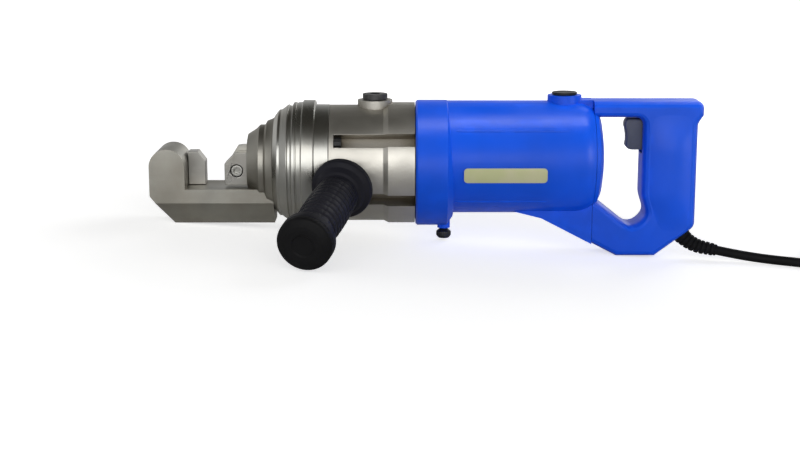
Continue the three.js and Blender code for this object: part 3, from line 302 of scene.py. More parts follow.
def stacked_laminations(name):
    s = Shader(name)
    s.constant(metallic=1.0)
    s.color(s.ramp(s.noise(1, 2, (2000, 5, 5)), (0.35, (0.18, 0.18, 0.19)), (0.65, (0.42, 0.42, 0.44))))
    s.roughness(s.spread(s.noise(40, 4), 0.4, 0.6))
    s.bump((s.noise(1, 1, (2000, 5, 5)), 0.5, 0.0003))
    return s.material


def foil_plate(name):
    """A foil plate of an uneven straw colour, without lettering."""
    s = Shader(name)
    s.constant(metallic=0.35)
    pale = s.ramp(s.noise(26, 5), (0.35, (0.60, 0.62, 0.33)), (0.65, (0.74, 0.68, 0.52)))
    s.color(pale)
    s.roughness(s.spread(s.noise(60, 5), 0.32, 0.46))
    s.bump((s.noise(1, 2, (40, 1500, 1500)), 0.1, 0.0002))
    return s.material


BLUE = (0.002, 0.082, 0.70)
STEEL = (0.52, 0.52, 0.49)
MATERIALS = {
    "forged_steel": worked_steel("forged steel", (0.40, 0.39, 0.35), 0.42, (0.16, 0.13, 0.09), 0.04, 0.35),
    "machined_steel": worked_steel("turned steel", STEEL, 0.3, (0.24, 0.2, 0.14), 0.3, 0.1),
    "tool_steel": worked_steel("ground tool steel", (0.46, 0.45, 0.42), 0.3, (0.2, 0.17, 0.12), 0.02, 0.4),
    # the last colour of the cast alloy is the dark grimy stain of the painted shade in its recesses
    "cast_aluminium": cast_metal("cast alloy", (0.55, 0.53, 0.48), 0.42, (0.13, 0.11, 0.08)),
    "black_steel": black_oxide("black oxide"),
    "bearing_steel": worked_steel("bearing steel", (0.72, 0.72, 0.74), 0.2, (0.4, 0.38, 0.3), 0.1, 0.05),
    "copper": wound_copper("wound copper"),
    "laminations": stacked_laminations("laminations"),
    "brass": worked_steel("turned brass", (0.62, 0.45, 0.16), 0.32, (0.35, 0.22, 0.08), 0.2, 0.1),
    "carbon": soft_rubber("pressed carbon", (0.02, 0.02, 0.02), 0.5),
    "blue_plastic": moulded_plastic("blue plastic", BLUE, 0.36),
    "dark_plastic": moulded_plastic("grey plastic", (0.075, 0.083, 0.115), 0.45),
    "black_plastic": moulded_plastic("black plastic", (0.012, 0.012, 0.014), 0.42),
    "plate": foil_plate("foil plate"),
    "rubber": soft_rubber("black rubber", (0.004, 0.004, 0.0045)),
    "soft_grip": soft_rubber("grip rubber", (0.009, 0.009, 0.013), 0.5),
}
SLOTS = {part["node"]: part["material_slot"] for part in frame["record"]["subparts"]}


# ------------------------------------------------------------------------------------------
# Mains cord
# ------------------------------------------------------------------------------------------
CORD_RADIUS = 4
CORD_EXIT = (222, 0, -59.5)
HEEL_BACK, HEEL_BOTTOM = (232, -52), (199, -76.7)  # ends of the handle's slanting heel, as x and z
HEEL_RUN, HEEL_DROP = HEEL_BACK[0] - HEEL_BOTTOM[0], HEEL_BACK[1] - HEEL_BOTTOM[1]
EXIT_SLOPE = math.atan2(HEEL_RUN, HEEL_DROP) - PITCH  # square to the heel
RELIEF_LENGTH = 36
RELIEF_STEP = 3
FIRST_BEND = 34  # radius of the bend that brings the cord down to the floor
LEVEL_ANGLE = math.radians(8)  # slope at which that bend ends
COIL_CENTRE = Vector((400, 40, 0))
COIL_TURNS = (  # radius and height of each turn
    (52, 4.1), (44, 4.1), (36, 4.1), (36, 12.1), (44, 12.1), (52, 12.1), (44, 20.1), (52, 20.1),
)
TURN_POINTS = 40
STEP_SHARE = 0.25  # share of a turn in which the cord steps to its next place
LAST_TURN = range(-90, -20, 10)  # degrees along which the end leaves the last turn
GROUND_ROUTE = (
    (276, 0, 6.2), (292, -0.5, 4.8), (308, -2, 4.2), (324, -4.5, 4.2), (340, -7.5, 4.2),
    (355, -10, 4.2), (368, -11.5, 4.2), (384, -12, 4.1),
)
TAIL_ROUTE = ((455.5, 51, 16), (454.5, 63, 11.5), (452.3, 74, 9.5), (452, 82, 9.2))


def coil_shift():
    """How far the floor's millimetres, measured to the coil, lie from the row frame's."""
    low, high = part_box("cord_coil")
    return (Vector(low) + Vector(high)) / 2 / MM - COIL_CENTRE


GROUND_SHIFT = coil_shift()
GROUND_SHIFT.z = 0


def ground_point(point):
    return (Vector(point) + GROUND_SHIFT) * MM


def relief_point(travelled):
    """A place on the cord's first bend, this far from the heel of the handle."""
    start = row_point(*CORD_EXIT) / MM
    bend = min(travelled / FIRST_BEND, EXIT_SLOPE - LEVEL_ANGLE)
    angle = EXIT_SLOPE - bend
    rest = travelled - bend * FIRST_BEND
    x = FIRST_BEND * (math.sin(EXIT_SLOPE) - math.sin(angle)) + rest * math.cos(angle)
    z = FIRST_BEND * (math.cos(angle) - math.cos(EXIT_SLOPE)) + rest * math.sin(angle)
    return (start + Vector((x, 0, -z))) * MM


def smooth(t):
    return t * t * (3 - 2 * t)


def coil_point(radius, height, angle):
    return COIL_CENTRE + Vector((radius * math.cos(angle), radius * math.sin(angle), height))


def coil_points():
    """Turns that lie beside and on each other, each joined to the next by a short sideways step."""
    points = []
    for turn, here in enumerate(COIL_TURNS):
        after = COIL_TURNS[min(turn + 1, len(COIL_TURNS) - 1)]
        for i in range(TURN_POINTS):
            t = i / TURN_POINTS
            step = smooth(max(0, (t - 1 + STEP_SHARE) / STEP_SHARE))
            radius = here[0] + (after[0] - here[0]) * step
            height = here[1] + (after[1] - here[1]) * step
            angle = 2 * math.pi * t - math.pi / 2
            points.append(coil_point(radius, height, angle))
    return points + [coil_point(*COIL_TURNS[-1], math.radians(degrees)) for degrees in LAST_TURN]


def smooth_line(points, pieces=3):
    """A curve through points: cubic spans whose tangents allow for the lengths of the chords."""
    tiny = 1e-9
    dense = []
    for i in range(len(points) - 1):
        before = points[max(i - 1, 0)]
        start, end = points[i], points[i + 1]
        after = points[min(i + 2, len(points) - 1)]
        span = (end - start).length
        first = (end - before) * span / max((start - before).length + span, tiny)
        last = (after - start) * span / max((after - end).length + span, tiny)
        for k in range(pieces):
            t = k / pieces
            dense.append(
                start * (2 * t**3 - 3 * t**2 + 1) + first * (t**3 - 2 * t**2 + t)
                + end * (3 * t**2 - 2 * t**3) + last * (t**3 - t**2)
            )
    return dense + [points[-1]]


def make_cord(relief):
    first = [relief_point(RELIEF_STEP * i) for i in range(RELIEF_LENGTH // RELIEF_STEP + 1)]
    rest = [ground_point(p) for p in (*GROUND_ROUTE, *coil_points(), *TAIL_ROUTE)]
    points = smooth_line(first + rest)
    data = bpy.data.curves.new("mains_cord", "CURVE")
    data.dimensions = "3D"
    data.bevel_depth = CORD_RADIUS * MM
    data.bevel_resolution = 4
    data.use_fill_caps = True
    spline = data.splines.new("POLY")
    spline.points.add(len(points) - 1)
    for place, point in zip(spline.points, points):
        place.co = (*point, 1)
    cord = bpy.data.objects.new("mains_cord", data)
    bpy.context.scene.collection.objects.link(cord)
    data.materials.append(MATERIALS["rubber"])
    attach(cord, "tool")
    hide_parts("power_cord", "cord_coil")


# ------------------------------------------------------------------------------------------
# Mesh helpers, in the tool's frame
# ------------------------------------------------------------------------------------------
SMOOTH_ANGLE = math.radians(24)  # faces that meet at less than this are shaded as one
EDGE_ANGLE = math.radians(30)  # edges sharper than this get a small bevel


def add_piece(name, verts, faces, slot, body="tool", replaces=()):
    mesh = bpy.data.meshes.new(name)
    mesh.from_pydata([tuple(v) for v in verts], [], faces)
    bm = bmesh.new()
    bm.from_mesh(mesh)
    bmesh.ops.recalc_face_normals(bm, faces=bm.faces)
    for face in bm.faces:
        face.smooth = True
    for edge in bm.edges:
        if len(edge.link_faces) == 2:
            edge.smooth = edge.calc_face_angle() < SMOOTH_ANGLE
    bm.to_mesh(mesh)
    bm.free()
    piece = bpy.data.objects.new(name, mesh)
    bpy.context.scene.collection.objects.link(piece)
    mesh.materials.append(MATERIALS[slot])
    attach(piece, body)
    if replaces:
        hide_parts(*replaces)
    return piece


def rounded_profile(points, steps=4):
    """A closed outline of (a, b) or (a, b, radius) corners, rounded where they have a radius."""
    most = 0.49  # share of a side that one rounded corner may take
    line = []
    for i, corner in enumerate(points):
        here = Vector(corner[:2])
        if len(corner) < 3:
            line.append(here)
            continue
        before = Vector(points[i - 1][:2]) - here
        after = Vector(points[(i + 1) % len(points)][:2]) - here
        half = before.angle(after) / 2
        reach = min(corner[2] / math.tan(half), most * before.length, most * after.length)
        first, last = here + before.normalized() * reach, here + after.normalized() * reach
        for k in range(steps + 1):
            t = k / steps
            line.append(first * (1 - t) ** 2 + here * 2 * t * (1 - t) + last * t**2)
    return line


def lathe(profile, sides=96, ripple=None):
    """Turns a closed outline of (x, radius) about the x axis.

    ripple(x, radius, angle) gives a factor for the radius at that place.
    """
    on_axis = 1e-6
    verts, faces = [], []
    for k in range(sides):
        angle = 2 * math.pi * k / sides
        for x, radius in profile:
            r = radius * (ripple(x, radius, angle) if ripple else 1)
            verts.append(Vector((x, r * math.cos(angle), r * math.sin(angle))))
    count = len(profile)
    for k in range(sides):
        for i in range(count):
            j = (i + 1) % count
            a, b = k * count, ((k + 1) % sides) * count
            flat_i, flat_j = profile[i][1] < on_axis, profile[j][1] < on_axis
            if flat_i and flat_j:
                continue
            corners = (a + i, a + j, b + j, b + i)
            if flat_i:
                corners = (a + i, a + j, b + j)
            elif flat_j:
                corners = (a + i, a + j, b + i)
            faces.append(corners)
    return verts, faces


def placed(verts, matrix):
    return [matrix @ v for v in verts]


def welded(verts, faces):
    """Joins points that fall together, such as those on a lathe's axis."""
    distance = 1e-4
    bm = bmesh.new()
    made = [bm.verts.new(v) for v in verts]
    bm.verts.index_update()
    for face in faces:
        try:
            bm.faces.new([made[i] for i in face])
        except ValueError:
            pass
    bmesh.ops.remove_doubles(bm, verts=bm.verts, dist=distance)
    bm.verts.index_update()
    verts = [v.co.copy() for v in bm.verts]
    faces = [[v.index for v in f.verts] for f in bm.faces]
    bm.free()
    return verts, faces


def turned_piece(name, profile, slot, body="tool", replaces=(), sides=96, place=None, ripple=None):
    verts, faces = welded(*lathe(profile, sides, ripple))
    if place is not None:
        verts = placed(verts, place)
    return add_piece(name, placed(verts, TO_ROW), faces, slot, body, replaces)


def towards(direction, origin):
    """A frame whose x axis points along direction, from origin."""
    x = Vector(direction).normalized()
    side = Vector((0, 0, 1)) if abs(x.z) < 0.9 else Vector((0, 1, 0))
    y = side.cross(x).normalized()
    z = x.cross(y)
    return Matrix.Translation(origin) @ Matrix((x, y, z)).transposed().to_4x4()


def tube(path, radius, sides=10):
    """A closed tube round a line of points."""
    verts, faces = [], []
    normal = None
    for i, point in enumerate(path):
        ahead = (path[min(i + 1, len(path) - 1)] - path[max(i - 1, 0)]).normalized()
        if normal is None:
            normal = ahead.orthogonal().normalized()
        normal = (normal - ahead * normal.dot(ahead)).normalized()
        across = ahead.cross(normal)
        for k in range(sides):
            angle = 2 * math.pi * k / sides
            verts.append(point + (normal * math.cos(angle) + across * math.sin(angle)) * radius)
    for i in range(len(path) - 1):
        for k in range(sides):
            a, b = i * sides + k, i * sides + (k + 1) % sides
            faces.append((a, b, b + sides, a + sides))
    faces.append(tuple(range(sides))[::-1])
    faces.append(tuple(range(len(verts) - sides, len(verts))))
    return verts, faces


# ------------------------------------------------------------------------------------------
# Detailed pieces: cylinder, side handle, knob, springs, strain relief, screws, ribs and grip
# ------------------------------------------------------------------------------------------
CYLINDER_FRONT = -116
CYLINDER_BACK = -70.3
SLEEVE_BACK = -36


def make_cylinder():
    """The turned front of the pump: stepped cone, groove, two bands and the sleeve inside the case."""
    profile = rounded_profile([
        (CYLINDER_FRONT, 22, 0.6), (CYLINDER_FRONT, 38.5, 1.2), (-112, 44, 1.5), (-110, 44, 0.5),
        (-104, 48.5, 0.8), (-103, 47.2, 0.4), (-101, 47.2, 0.4), (-100, 50, 1.0), (-97.4, 50, 0.3),
        (-97.0, 49.4, 0.2), (-96.4, 49.4, 0.2), (-96, 50, 0.3), (-92.6, 50, 0.4), (-92, 51.8, 0.8),
        (-82, 51.8, 0.9), (-82, 48.2, 0.5), (CYLINDER_BACK, 48.2, 0.4), (CYLINDER_BACK, 36.6),
        (SLEEVE_BACK, 36.6), (SLEEVE_BACK, 30), (-105, 30), (-105, 22),
    ])
    turned_piece("cylinder_turned", profile, "machined_steel", replaces=["cylinder"], sides=128)


SIDE_SEAT = Vector((-57, -58.5, -9))
SIDE_DIRECTION = Vector((-0.24, -0.94, -0.24))
SIDE_FRAME = towards(SIDE_DIRECTION, SIDE_SEAT)
SIDE_LENGTH = 112
SIDE_END_START = SIDE_LENGTH - 8
SIDE_FLANGE_RADIUS = 24.5
SIDE_NECK_RADIUS = 16.4
SIDE_END_RADIUS = 21.5
SIDE_GRIP_START = 16
SIDE_STUD_RADIUS, SIDE_STUD_END = 5.3, 62  # the bore that the stud fills
SIDE_RIBS = 11
SIDE_FLUTES = 12
RIB_RADIUS, RIB_SWELL, RIB_DEPTH = 16.3, 1.5, 0.9
FLUTE_DEPTH = 0.02  # as a share of the radius
CLEARANCE = 0.3


def grip_ribs(start, end):
    """Part of the side grip's outline: rounded ribs, fuller towards the middle of the hand."""
    line = []
    pitch = (end - start) / SIDE_RIBS
    for i in range(SIDE_RIBS):
        x = start + i * pitch
        swell = RIB_RADIUS + RIB_SWELL * math.sin(math.pi * (i + 0.5) / SIDE_RIBS)
        line += [(x, swell - RIB_DEPTH, 0.3), (x + 1, swell, 0.6)]
        line += [(x + pitch - 1.6, swell, 0.6), (x + pitch - 0.8, swell - RIB_DEPTH, 0.3)]
    return line


def make_side_handle():
    """A soft moulding with a flange against the case and a fluted, ribbed grip, and its end cap."""
    end = SIDE_END_START
    ribs_start, ribs_end = SIDE_GRIP_START + 3, end - 13
    outline = [
        (CLEARANCE, 6.3), (CLEARANCE, SIDE_FLANGE_RADIUS - 4, 1.0), (3, SIDE_FLANGE_RADIUS, 1.5),
        (9, SIDE_FLANGE_RADIUS, 2.5), (11.5, 20.5, 2), (SIDE_GRIP_START, 18.2, 1.5),
        (SIDE_GRIP_START + 1.5, SIDE_NECK_RADIUS, 0.8),
        *grip_ribs(ribs_start, ribs_end),
        (end - 12, SIDE_NECK_RADIUS, 1), (end - 7, SIDE_END_RADIUS, 2.2),
        (end - CLEARANCE, SIDE_END_RADIUS, 0.5), (end - CLEARANCE, 0), (SIDE_STUD_END, 0),
        (SIDE_STUD_END, SIDE_STUD_RADIUS), (SIDE_GRIP_START, SIDE_STUD_RADIUS), (SIDE_GRIP_START, 6.3),
    ]

    def fluted(x, radius, angle):
        if radius < 14 or not ribs_start < x < ribs_end:
            return 1
        return 1 - FLUTE_DEPTH * max(0, math.cos(SIDE_FLUTES * angle)) ** 6

    turned_piece(
        "side_grip_moulded", rounded_profile(outline, 3), "soft_grip", replaces=["side_handle_grip"],
        sides=144, place=SIDE_FRAME, ripple=fluted,
    )
    cap = rounded_profile([
        (end, 0), (end, SIDE_END_RADIUS, 0.5), (end + 5, SIDE_END_RADIUS - 0.2, 3),
        (SIDE_LENGTH - 0.4, 15.5, 2), (SIDE_LENGTH, 13, 0.5), (SIDE_LENGTH, 9, 0.4),
        (SIDE_LENGTH - 1, 8.2, 0.4), (SIDE_LENGTH - 1, 0),
    ], 5)
    turned_piece(
        "side_end_moulded", cap, "rubber", replaces=["side_handle_end_cap"], sides=96, place=SIDE_FRAME,
    )


KNOB_X = 24
KNOB_TOP, KNOB_BOTTOM = -56, -63.8
KNOB_RADIUS = 6.2
KNOB_STEM = 7.6
KNOB_NOTCHES = 20
NOTCH_DEPTH = 0.035  # as a share of the radius


def make_knob():
    """A small ball-shaped knob with a milled rim, on the stem of the release valve."""
    span = KNOB_TOP - KNOB_BOTTOM
    profile = rounded_profile([
        (0, 0), (0, 4.4, 1.5), (span * 0.3, KNOB_RADIUS, 2), (span * 0.72, KNOB_RADIUS, 2), (span, 3.6, 1),
        (span + 0.4, 3, 0.2), (span + KNOB_STEM, 3), (span + KNOB_STEM, 0),
    ], 6)

    def milled(x, radius, angle):
        return 1 - (NOTCH_DEPTH * max(0, math.cos(KNOB_NOTCHES * angle)) if radius > 5 else 0)

    place = towards((0, 0, 1), (KNOB_X, 0, KNOB_BOTTOM))
    turned_piece(
        "release_knob_milled", profile, "black_steel", "release_valve", ["release_valve_knob"],
        sides=120, place=place, ripple=milled,
    )


HELIX_POINTS = 28  # points in each turn
CLOSED_TURNS = 0.75  # turns at each end that don't climb


def helix(front, back, radius, turns, middle_z):
    steps = int(turns * HELIX_POINTS)
    path = []
    for i in range(steps + 1):
        t = i / steps
        eased = min(max((t * turns - CLOSED_TURNS) / (turns - 2 * CLOSED_TURNS), 0), 1)
        angle = 2 * math.pi * turns * t
        x = front + (back - front) * eased
        path.append(Vector((x, radius * math.cos(angle), middle_z + radius * math.sin(angle))))
    return path


def make_spring(name, node, front, back, radius, wire, turns, middle_z):
    """A coil spring with closed ends, on a mesh of its own."""
    path = helix(front, back, radius, turns, middle_z)
    verts, faces = tube(path, wire)
    piece = add_piece(name, placed(verts, TO_ROW), faces, "machined_steel", replaces=[node])
    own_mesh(piece)


def make_springs():
    make_spring(
        "return_spring_wire", "return_spring", front=-102.6, back=-56.4, radius=24, wire=2, turns=7,
        middle_z=0,
    )
    make_spring(
        "trigger_spring_wire", "trigger_spring", front=191.3, back=198, radius=3, wire=0.6, turns=4.5,
        middle_z=18,
    )


RELIEF_ROOT = 6  # how deep its root sits in the handle
RELIEF_COLLAR = 7.2
RELIEF_RIBS = 7
RELIEF_PITCH = 4.1
RELIEF_TAPER = 0.22  # how much smaller each rib is than the one before


def make_strain_relief():
    """A tapered sleeve with raised ribs, bent along the first stretch of the cord."""
    outline = [
        (-RELIEF_ROOT, 0), (-RELIEF_ROOT, 5.2, 0.3), (1, 5.2), (1, RELIEF_COLLAR, 0.6),
        (5, RELIEF_COLLAR, 0.8),
    ]
    for i in range(RELIEF_RIBS):
        x = 5.6 + i * RELIEF_PITCH
        radius = 6.7 - RELIEF_TAPER * i
        outline += [(x, radius - 1.2, 0.2), (x + 0.7, radius, 0.4)]
        outline += [(x + RELIEF_PITCH - 1.2, radius - 0.1, 0.4), (x + RELIEF_PITCH - 0.6, radius - 1.25, 0.2)]
    outline += [(RELIEF_LENGTH - 1.2, 4.9, 0.3), (RELIEF_LENGTH, 4.6, 0.3), (RELIEF_LENGTH, 0)]
    verts, faces = welded(*lathe(rounded_profile(outline, 2), 48))
    bent = []
    for v in verts:
        travelled = max(v.x, 0)
        centre = relief_point(travelled)
        ahead = (relief_point(travelled + 0.1) - centre).normalized()
        up = Vector((-ahead.z, 0, ahead.x))
        bent.append(centre + (up * v.z + Vector((0, v.y, 0)) + ahead * min(v.x, 0)) * MM)
    return add_piece("strain_relief_ribbed", bent, faces, "rubber", replaces=["strain_relief"])


HANDLE_SCREWS = ((162, 45.7), (226, 45.7), (222, -46), (174, -65))  # x and z
SCREW_FLOOR = 14


def make_handle_screws():
    """Four plain round-headed screws in the counterbores of the handle's far half."""
    profile = rounded_profile([
        (-20, 0), (-20, 1.4), (0, 1.4), (0, 3.3, 0.2), (1.2, 3.3, 0.5), (2.2, 2.2, 0.6), (2.4, 0),
    ], 3)
    for number, (x, z) in enumerate(HANDLE_SCREWS, 1):
        place = towards((0, 1, 0), (x, SCREW_FLOOR + 0.05, z))
        turned_piece(f"handle_screw_{number}", profile, "black_steel", sides=32, place=place)


BARREL_RADIUS = 46.5
RIB_FRONT = 32
RIB_PLACES = ((35, 126), (-44, 108), (145, 108), (224, 108))  # degrees above the near side, and back end
RIB_HALF_WIDTH = 1.1
RIB_HEIGHT = 0.55
RIB_SECTION = ((-1.4, -0.4), (-0.75, RIB_HEIGHT * 0.55), (-0.25, RIB_HEIGHT))  # across, and height


def rib_section(outward, across):
    both = (*RIB_SECTION, *((-side, height) for side, height in reversed(RIB_SECTION)))
    return [outward * (BARREL_RADIUS + height) + across * RIB_HALF_WIDTH * side for side, height in both]


def make_barrel_ribs():
    """Low moulded ribs along the barrel, above and below the plate, and two on the far side."""
    for number, (degrees, back) in enumerate(RIB_PLACES):
        angle = math.radians(degrees)
        outward = Vector((0, -math.cos(angle), math.sin(angle)))
        section = rib_section(outward, Vector((1, 0, 0)).cross(outward))
        centre = Vector((0, 0, MOTOR_Z))
        stations = ((RIB_FRONT, 0.0), (RIB_FRONT + 3, 1.0), (back - 6, 1.0), (back, 0.0))
        verts, faces = [], []
        for x, share in stations:
            for point in section:
                lowered = point - outward * (1 - share) * (RIB_HEIGHT + 0.2)
                verts.append(centre + lowered + Vector((x, 0, 0)))
        count = len(section)
        for i in range(len(stations) - 1):
            for k in range(count):
                a, b = i * count + k, i * count + (k + 1) % count
                faces.append((a, b, b + count, a + count))
        faces.append(tuple(range(count)))
        faces.append(tuple(range(len(verts) - count, len(verts)))[::-1])
        add_piece(f"barrel_rib_{number + 1}", placed(verts, TO_ROW), faces, "blue_plastic")


GRIP_TOP, GRIP_BOTTOM = 45, -58
GRIP_FRONT, GRIP_FRONT_BEND = 187, -26  # the front edge, and the height below which it slants back
GRIP_FRONT_SLANT = 5 / 16
GRIP_INSET = 5.5
GRIP_CROWN = 3.6
GRIP_FADE = 34
HANDLE_HALF_WIDTH = 18
SUNK = 0.1  # how far a crown's rim starts below the handle's face


def grip_edges(z):
    """The front and back edges of a crown at this height, a little inside those of the grip."""
    front = GRIP_FRONT + max(0, GRIP_FRONT_BEND - z) * GRIP_FRONT_SLANT
    back = HEEL_BACK[0] - max(0, HEEL_BACK[1] - z) * HEEL_RUN / HEEL_DROP
    return front + GRIP_INSET, back - GRIP_INSET


def make_grip_crowns():
    """The hand's grip swells out a little on both faces of the D-handle."""
    rows, columns = 28, 14
    for side, name in ((-1, "near"), (1, "far")):
        verts, faces = [], []
        for i in range(rows + 1):
            z = GRIP_BOTTOM + (GRIP_TOP - GRIP_BOTTOM) * i / rows
            front, back = grip_edges(z)
            fade = smooth(min(1, (z - GRIP_BOTTOM) / GRIP_FADE, (GRIP_TOP - z) / GRIP_FADE))
            for k in range(columns + 1):
                t = 2 * k / columns - 1
                y = HANDLE_HALF_WIDTH - SUNK + (GRIP_CROWN + SUNK) * (1 - t * t) * fade
                verts.append(Vector((front + (back - front) * (t + 1) / 2, side * y, z)))
        wide = columns + 1
        for i in range(rows):
            for k in range(columns):
                a = i * wide + k
                faces.append((a, a + 1, a + 1 + wide, a + wide))
        rim = list(range(wide)) + [i * wide + columns for i in range(1, rows + 1)]
        rim += [rows * wide + k for k in reversed(range(columns))]
        rim += [i * wide for i in range(rows - 1, 0, -1)]
        base = len(verts)
        for index in rim:
            verts.append(Vector((verts[index].x, side * (HANDLE_HALF_WIDTH - 1), verts[index].z)))
        for j in range(len(rim)):
            after = (j + 1) % len(rim)
            faces.append((rim[j], rim[after], base + after, base + j))
        faces.append(tuple(range(base, base + len(rim))))
        add_piece(f"grip_crown_{name}", placed(verts, TO_ROW), faces, "blue_plastic")


make_cylinder()
make_side_handle()
make_grip_crowns()
make_knob()
make_springs()
make_cord(make_strain_relief())
make_handle_screws()
make_barrel_ribs()


# ------------------------------------------------------------------------------------------
# CAD nodes that stay: smooth shading, softened edges and their materials
# ------------------------------------------------------------------------------------------
SOFT_EDGES = {  # bevel widths in millimetres
    "forged_steel": 1.0, "machined_steel": 0.35, "tool_steel": 0.5, "cast_aluminium": 0.7,
    "black_steel": 0.25, "blue_plastic": 0.7, "dark_plastic": 0.5, "black_plastic": 0.4,
    "soft_grip": 0.5, "rubber": 0.4,
}
WELD_DISTANCE = 2e-6


def smoothing_nodes():
    """Nodes that drop a mesh's stored normals, join its split points and shade it smooth by angle."""
    group = bpy.data.node_groups.new("smooth by angle", "GeometryNodeTree")
    group.interface.new_socket("Geometry", in_out="INPUT", socket_type="NodeSocketGeometry")
    group.interface.new_socket("Geometry", in_out="OUTPUT", socket_type="NodeSocketGeometry")
    start, end = group.nodes.new("NodeGroupInput"), group.nodes.new("NodeGroupOutput")
    plain = group.nodes.new("GeometryNodeRemoveAttribute")
    plain.inputs["Name"].default_value = "custom_normal"
    merged = group.nodes.new("GeometryNodeMergeByDistance")
    merged.inputs["Distance"].default_value = WELD_DISTANCE
    angle = group.nodes.new("GeometryNodeInputMeshEdgeAngle")
    below = group.nodes.new("FunctionNodeCompare")
    below.operation = "LESS_THAN"
    below.inputs["B"].default_value = SMOOTH_ANGLE
    edges = group.nodes.new("GeometryNodeSetShadeSmooth")
    edges.domain = "EDGE"
    faces = group.nodes.new("GeometryNodeSetShadeSmooth")
    faces.domain = "FACE"
    group.links.new(angle.outputs["Unsigned Angle"], below.inputs["A"])
    group.links.new(start.outputs["Geometry"], plain.inputs["Geometry"])
    group.links.new(plain.outputs["Geometry"], merged.inputs["Geometry"])
    group.links.new(merged.outputs["Geometry"], faces.inputs["Geometry"])
    group.links.new(faces.outputs["Geometry"], edges.inputs["Geometry"])
    group.links.new(below.outputs["Result"], edges.inputs["Shade Smooth"])
    group.links.new(edges.outputs["Geometry"], end.inputs["Geometry"])
    return group


def soften_edges(piece, width):
    bevel = piece.modifiers.new("soft edges", "BEVEL")
    bevel.width = width * MM
    bevel.segments = 2
    bevel.limit_method = "ANGLE"
    bevel.angle_limit = EDGE_ANGLE
    bevel.use_clamp_overlap = True
    bevel.harden_normals = True


def dress_frame():
    smoothing = smoothing_nodes()
    for name, node in NODES.items():
        slot = SLOTS[name]
        node.data.materials.clear()
        node.data.materials.append(MATERIALS[slot])
        modifier = node.modifiers.new("smooth", "NODES")
        modifier.node_group = smoothing
        if slot in SOFT_EDGES:
            soften_edges(node, SOFT_EDGES[slot])


dress_frame()


# ------------------------------------------------------------------------------------------
# Studio: plain white surroundings; the blue pieces and the others each have lights of their own
# ------------------------------------------------------------------------------------------
NEAR_GLOW, FAR_GLOW = 0.62, 1.0
FLOOR_REACH = 6
GLOW_REACH = (0.25, 0.85)  # metres from the middle over which the glow grows


def make_floor():
    """A white floor that keeps only a soft trace of the shadows, and fades to plain white."""
    mesh = bpy.data.meshes.new("floor")
    corners = [(FLOOR_REACH * x, FLOOR_REACH * y, 0) for x, y in ((-1, -1), (1, -1), (1, 1), (-1, 1))]
    mesh.from_pydata(corners, [], [(0, 1, 2, 3)])
    floor = bpy.data.objects.new("floor", mesh)
    bpy.context.scene.collection.objects.link(floor)
    s = Shader("floor")
    s.constant(base_color=(0.8, 0.8, 0.8, 1), roughness=0.9, specular_ior_level=0.0)
    path = s.tree.nodes.new("ShaderNodeLightPath")
    glow = s.tree.nodes.new("ShaderNodeMath")
    glow.operation = "MULTIPLY"
    s.link(path.outputs["Is Camera Ray"], glow.inputs[0])
    s.link(s.spread(s.from_origin(), NEAR_GLOW, FAR_GLOW, *GLOW_REACH), glow.inputs[1])
    s.surface.inputs["Emission Color"].default_value = (1, 1, 1, 1)
    s.link(glow.outputs["Value"], s.surface.inputs["Emission Strength"])
    mesh.materials.append(s.material)


def area_light(name, place, aim, size, power):
    data = bpy.data.lights.new(name, "AREA")
    data.shape = "RECTANGLE"
    data.size, data.size_y = size
    data.energy = power
    light = bpy.data.objects.new(name, data)
    bpy.context.scene.collection.objects.link(light)
    direction = Vector(aim) - Vector(place)
    turn = direction.to_track_quat("-Z", "Y").to_matrix().to_4x4()
    light.matrix_world = Matrix.Translation(place) @ turn
    return light


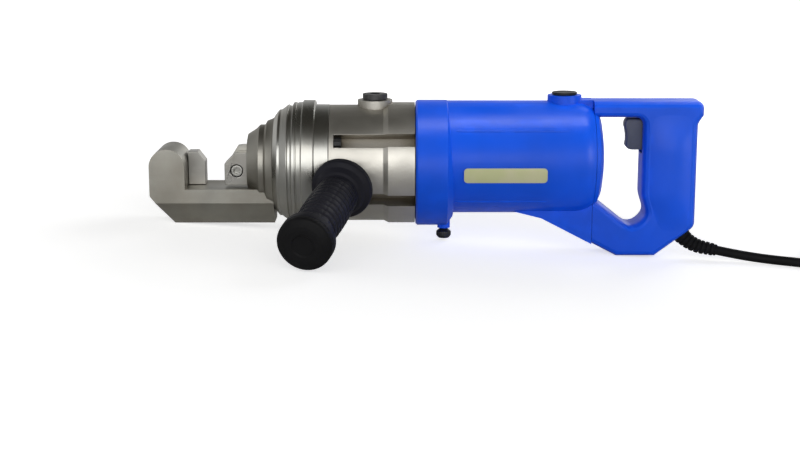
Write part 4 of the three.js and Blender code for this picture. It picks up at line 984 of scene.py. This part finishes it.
def make_world():
    """White to the camera; a grey gradient, darker overhead, to everything else."""
    world = bpy.data.worlds.new("studio")
    world.use_nodes = True
    tree = world.node_tree
    seen = tree.nodes["Background"]
    seen.inputs["Color"].default_value = (1, 1, 1, 1)
    light = tree.nodes.new("ShaderNodeBackground")
    coords = tree.nodes.new("ShaderNodeTexCoord")
    split = tree.nodes.new("ShaderNodeSeparateXYZ")
    ramp = tree.nodes.new("ShaderNodeValToRGB")
    path = tree.nodes.new("ShaderNodeLightPath")
    mix = tree.nodes.new("ShaderNodeMixShader")
    stops = ramp.color_ramp.elements
    stops[0].position, stops[0].color = 0.0, (0.75, 0.75, 0.75, 1)
    stops[1].position, stops[1].color = 0.8, (0.05, 0.048, 0.042, 1)
    middle = stops.new(0.35)
    middle.color = (0.5, 0.5, 0.5, 1)
    tree.links.new(coords.outputs["Generated"], split.inputs["Vector"])
    tree.links.new(split.outputs["Z"], ramp.inputs["Fac"])
    tree.links.new(ramp.outputs["Color"], light.inputs["Color"])
    tree.links.new(path.outputs["Is Camera Ray"], mix.inputs["Fac"])
    tree.links.new(light.outputs["Background"], mix.inputs[1])
    tree.links.new(seen.outputs["Background"], mix.inputs[2])
    tree.links.new(mix.outputs["Shader"], tree.nodes["World Output"].inputs["Surface"])
    bpy.context.scene.world = world


def collect(name, wanted):
    """A collection of the pieces that a light is kept to."""
    found = bpy.data.collections.new(name)
    for piece in bpy.data.objects:
        if piece.type in {"MESH", "CURVE"} and wanted(piece):
            found.objects.link(piece)
    return found


def is_blue(piece):
    return MATERIALS["blue_plastic"].name in piece.data.materials


def make_studio():
    make_floor()
    make_world()
    middle = (0, 0.05, 0.06)
    blue = collect("blue pieces", is_blue)
    others = collect("other pieces", lambda piece: not is_blue(piece))
    softbox = area_light("front softbox", (-0.2, -1.7, 0.7), middle, (2.4, 1.3), 19)
    softbox.light_linking.receiver_collection = others
    fill = area_light("front fill", (-0.3, -1.7, 0.1), middle, (2.4, 0.9), 14)
    fill.light_linking.receiver_collection = blue
    strip = area_light("overhead strip", (0.05, -0.1, 1.1), middle, (1.3, 0.3), 9)
    strip.light_linking.receiver_collection = blue
    side = area_light("side light", (1.5, -1.1, 0.4), middle, (0.7, 0.9), 9)
    side.light_linking.receiver_collection = blue
    area_light("rim", (0.8, 1.2, 0.8), middle, (0.8, 0.8), 4)
    bpy.context.scene.view_settings.view_transform = "Standard"


make_studio()
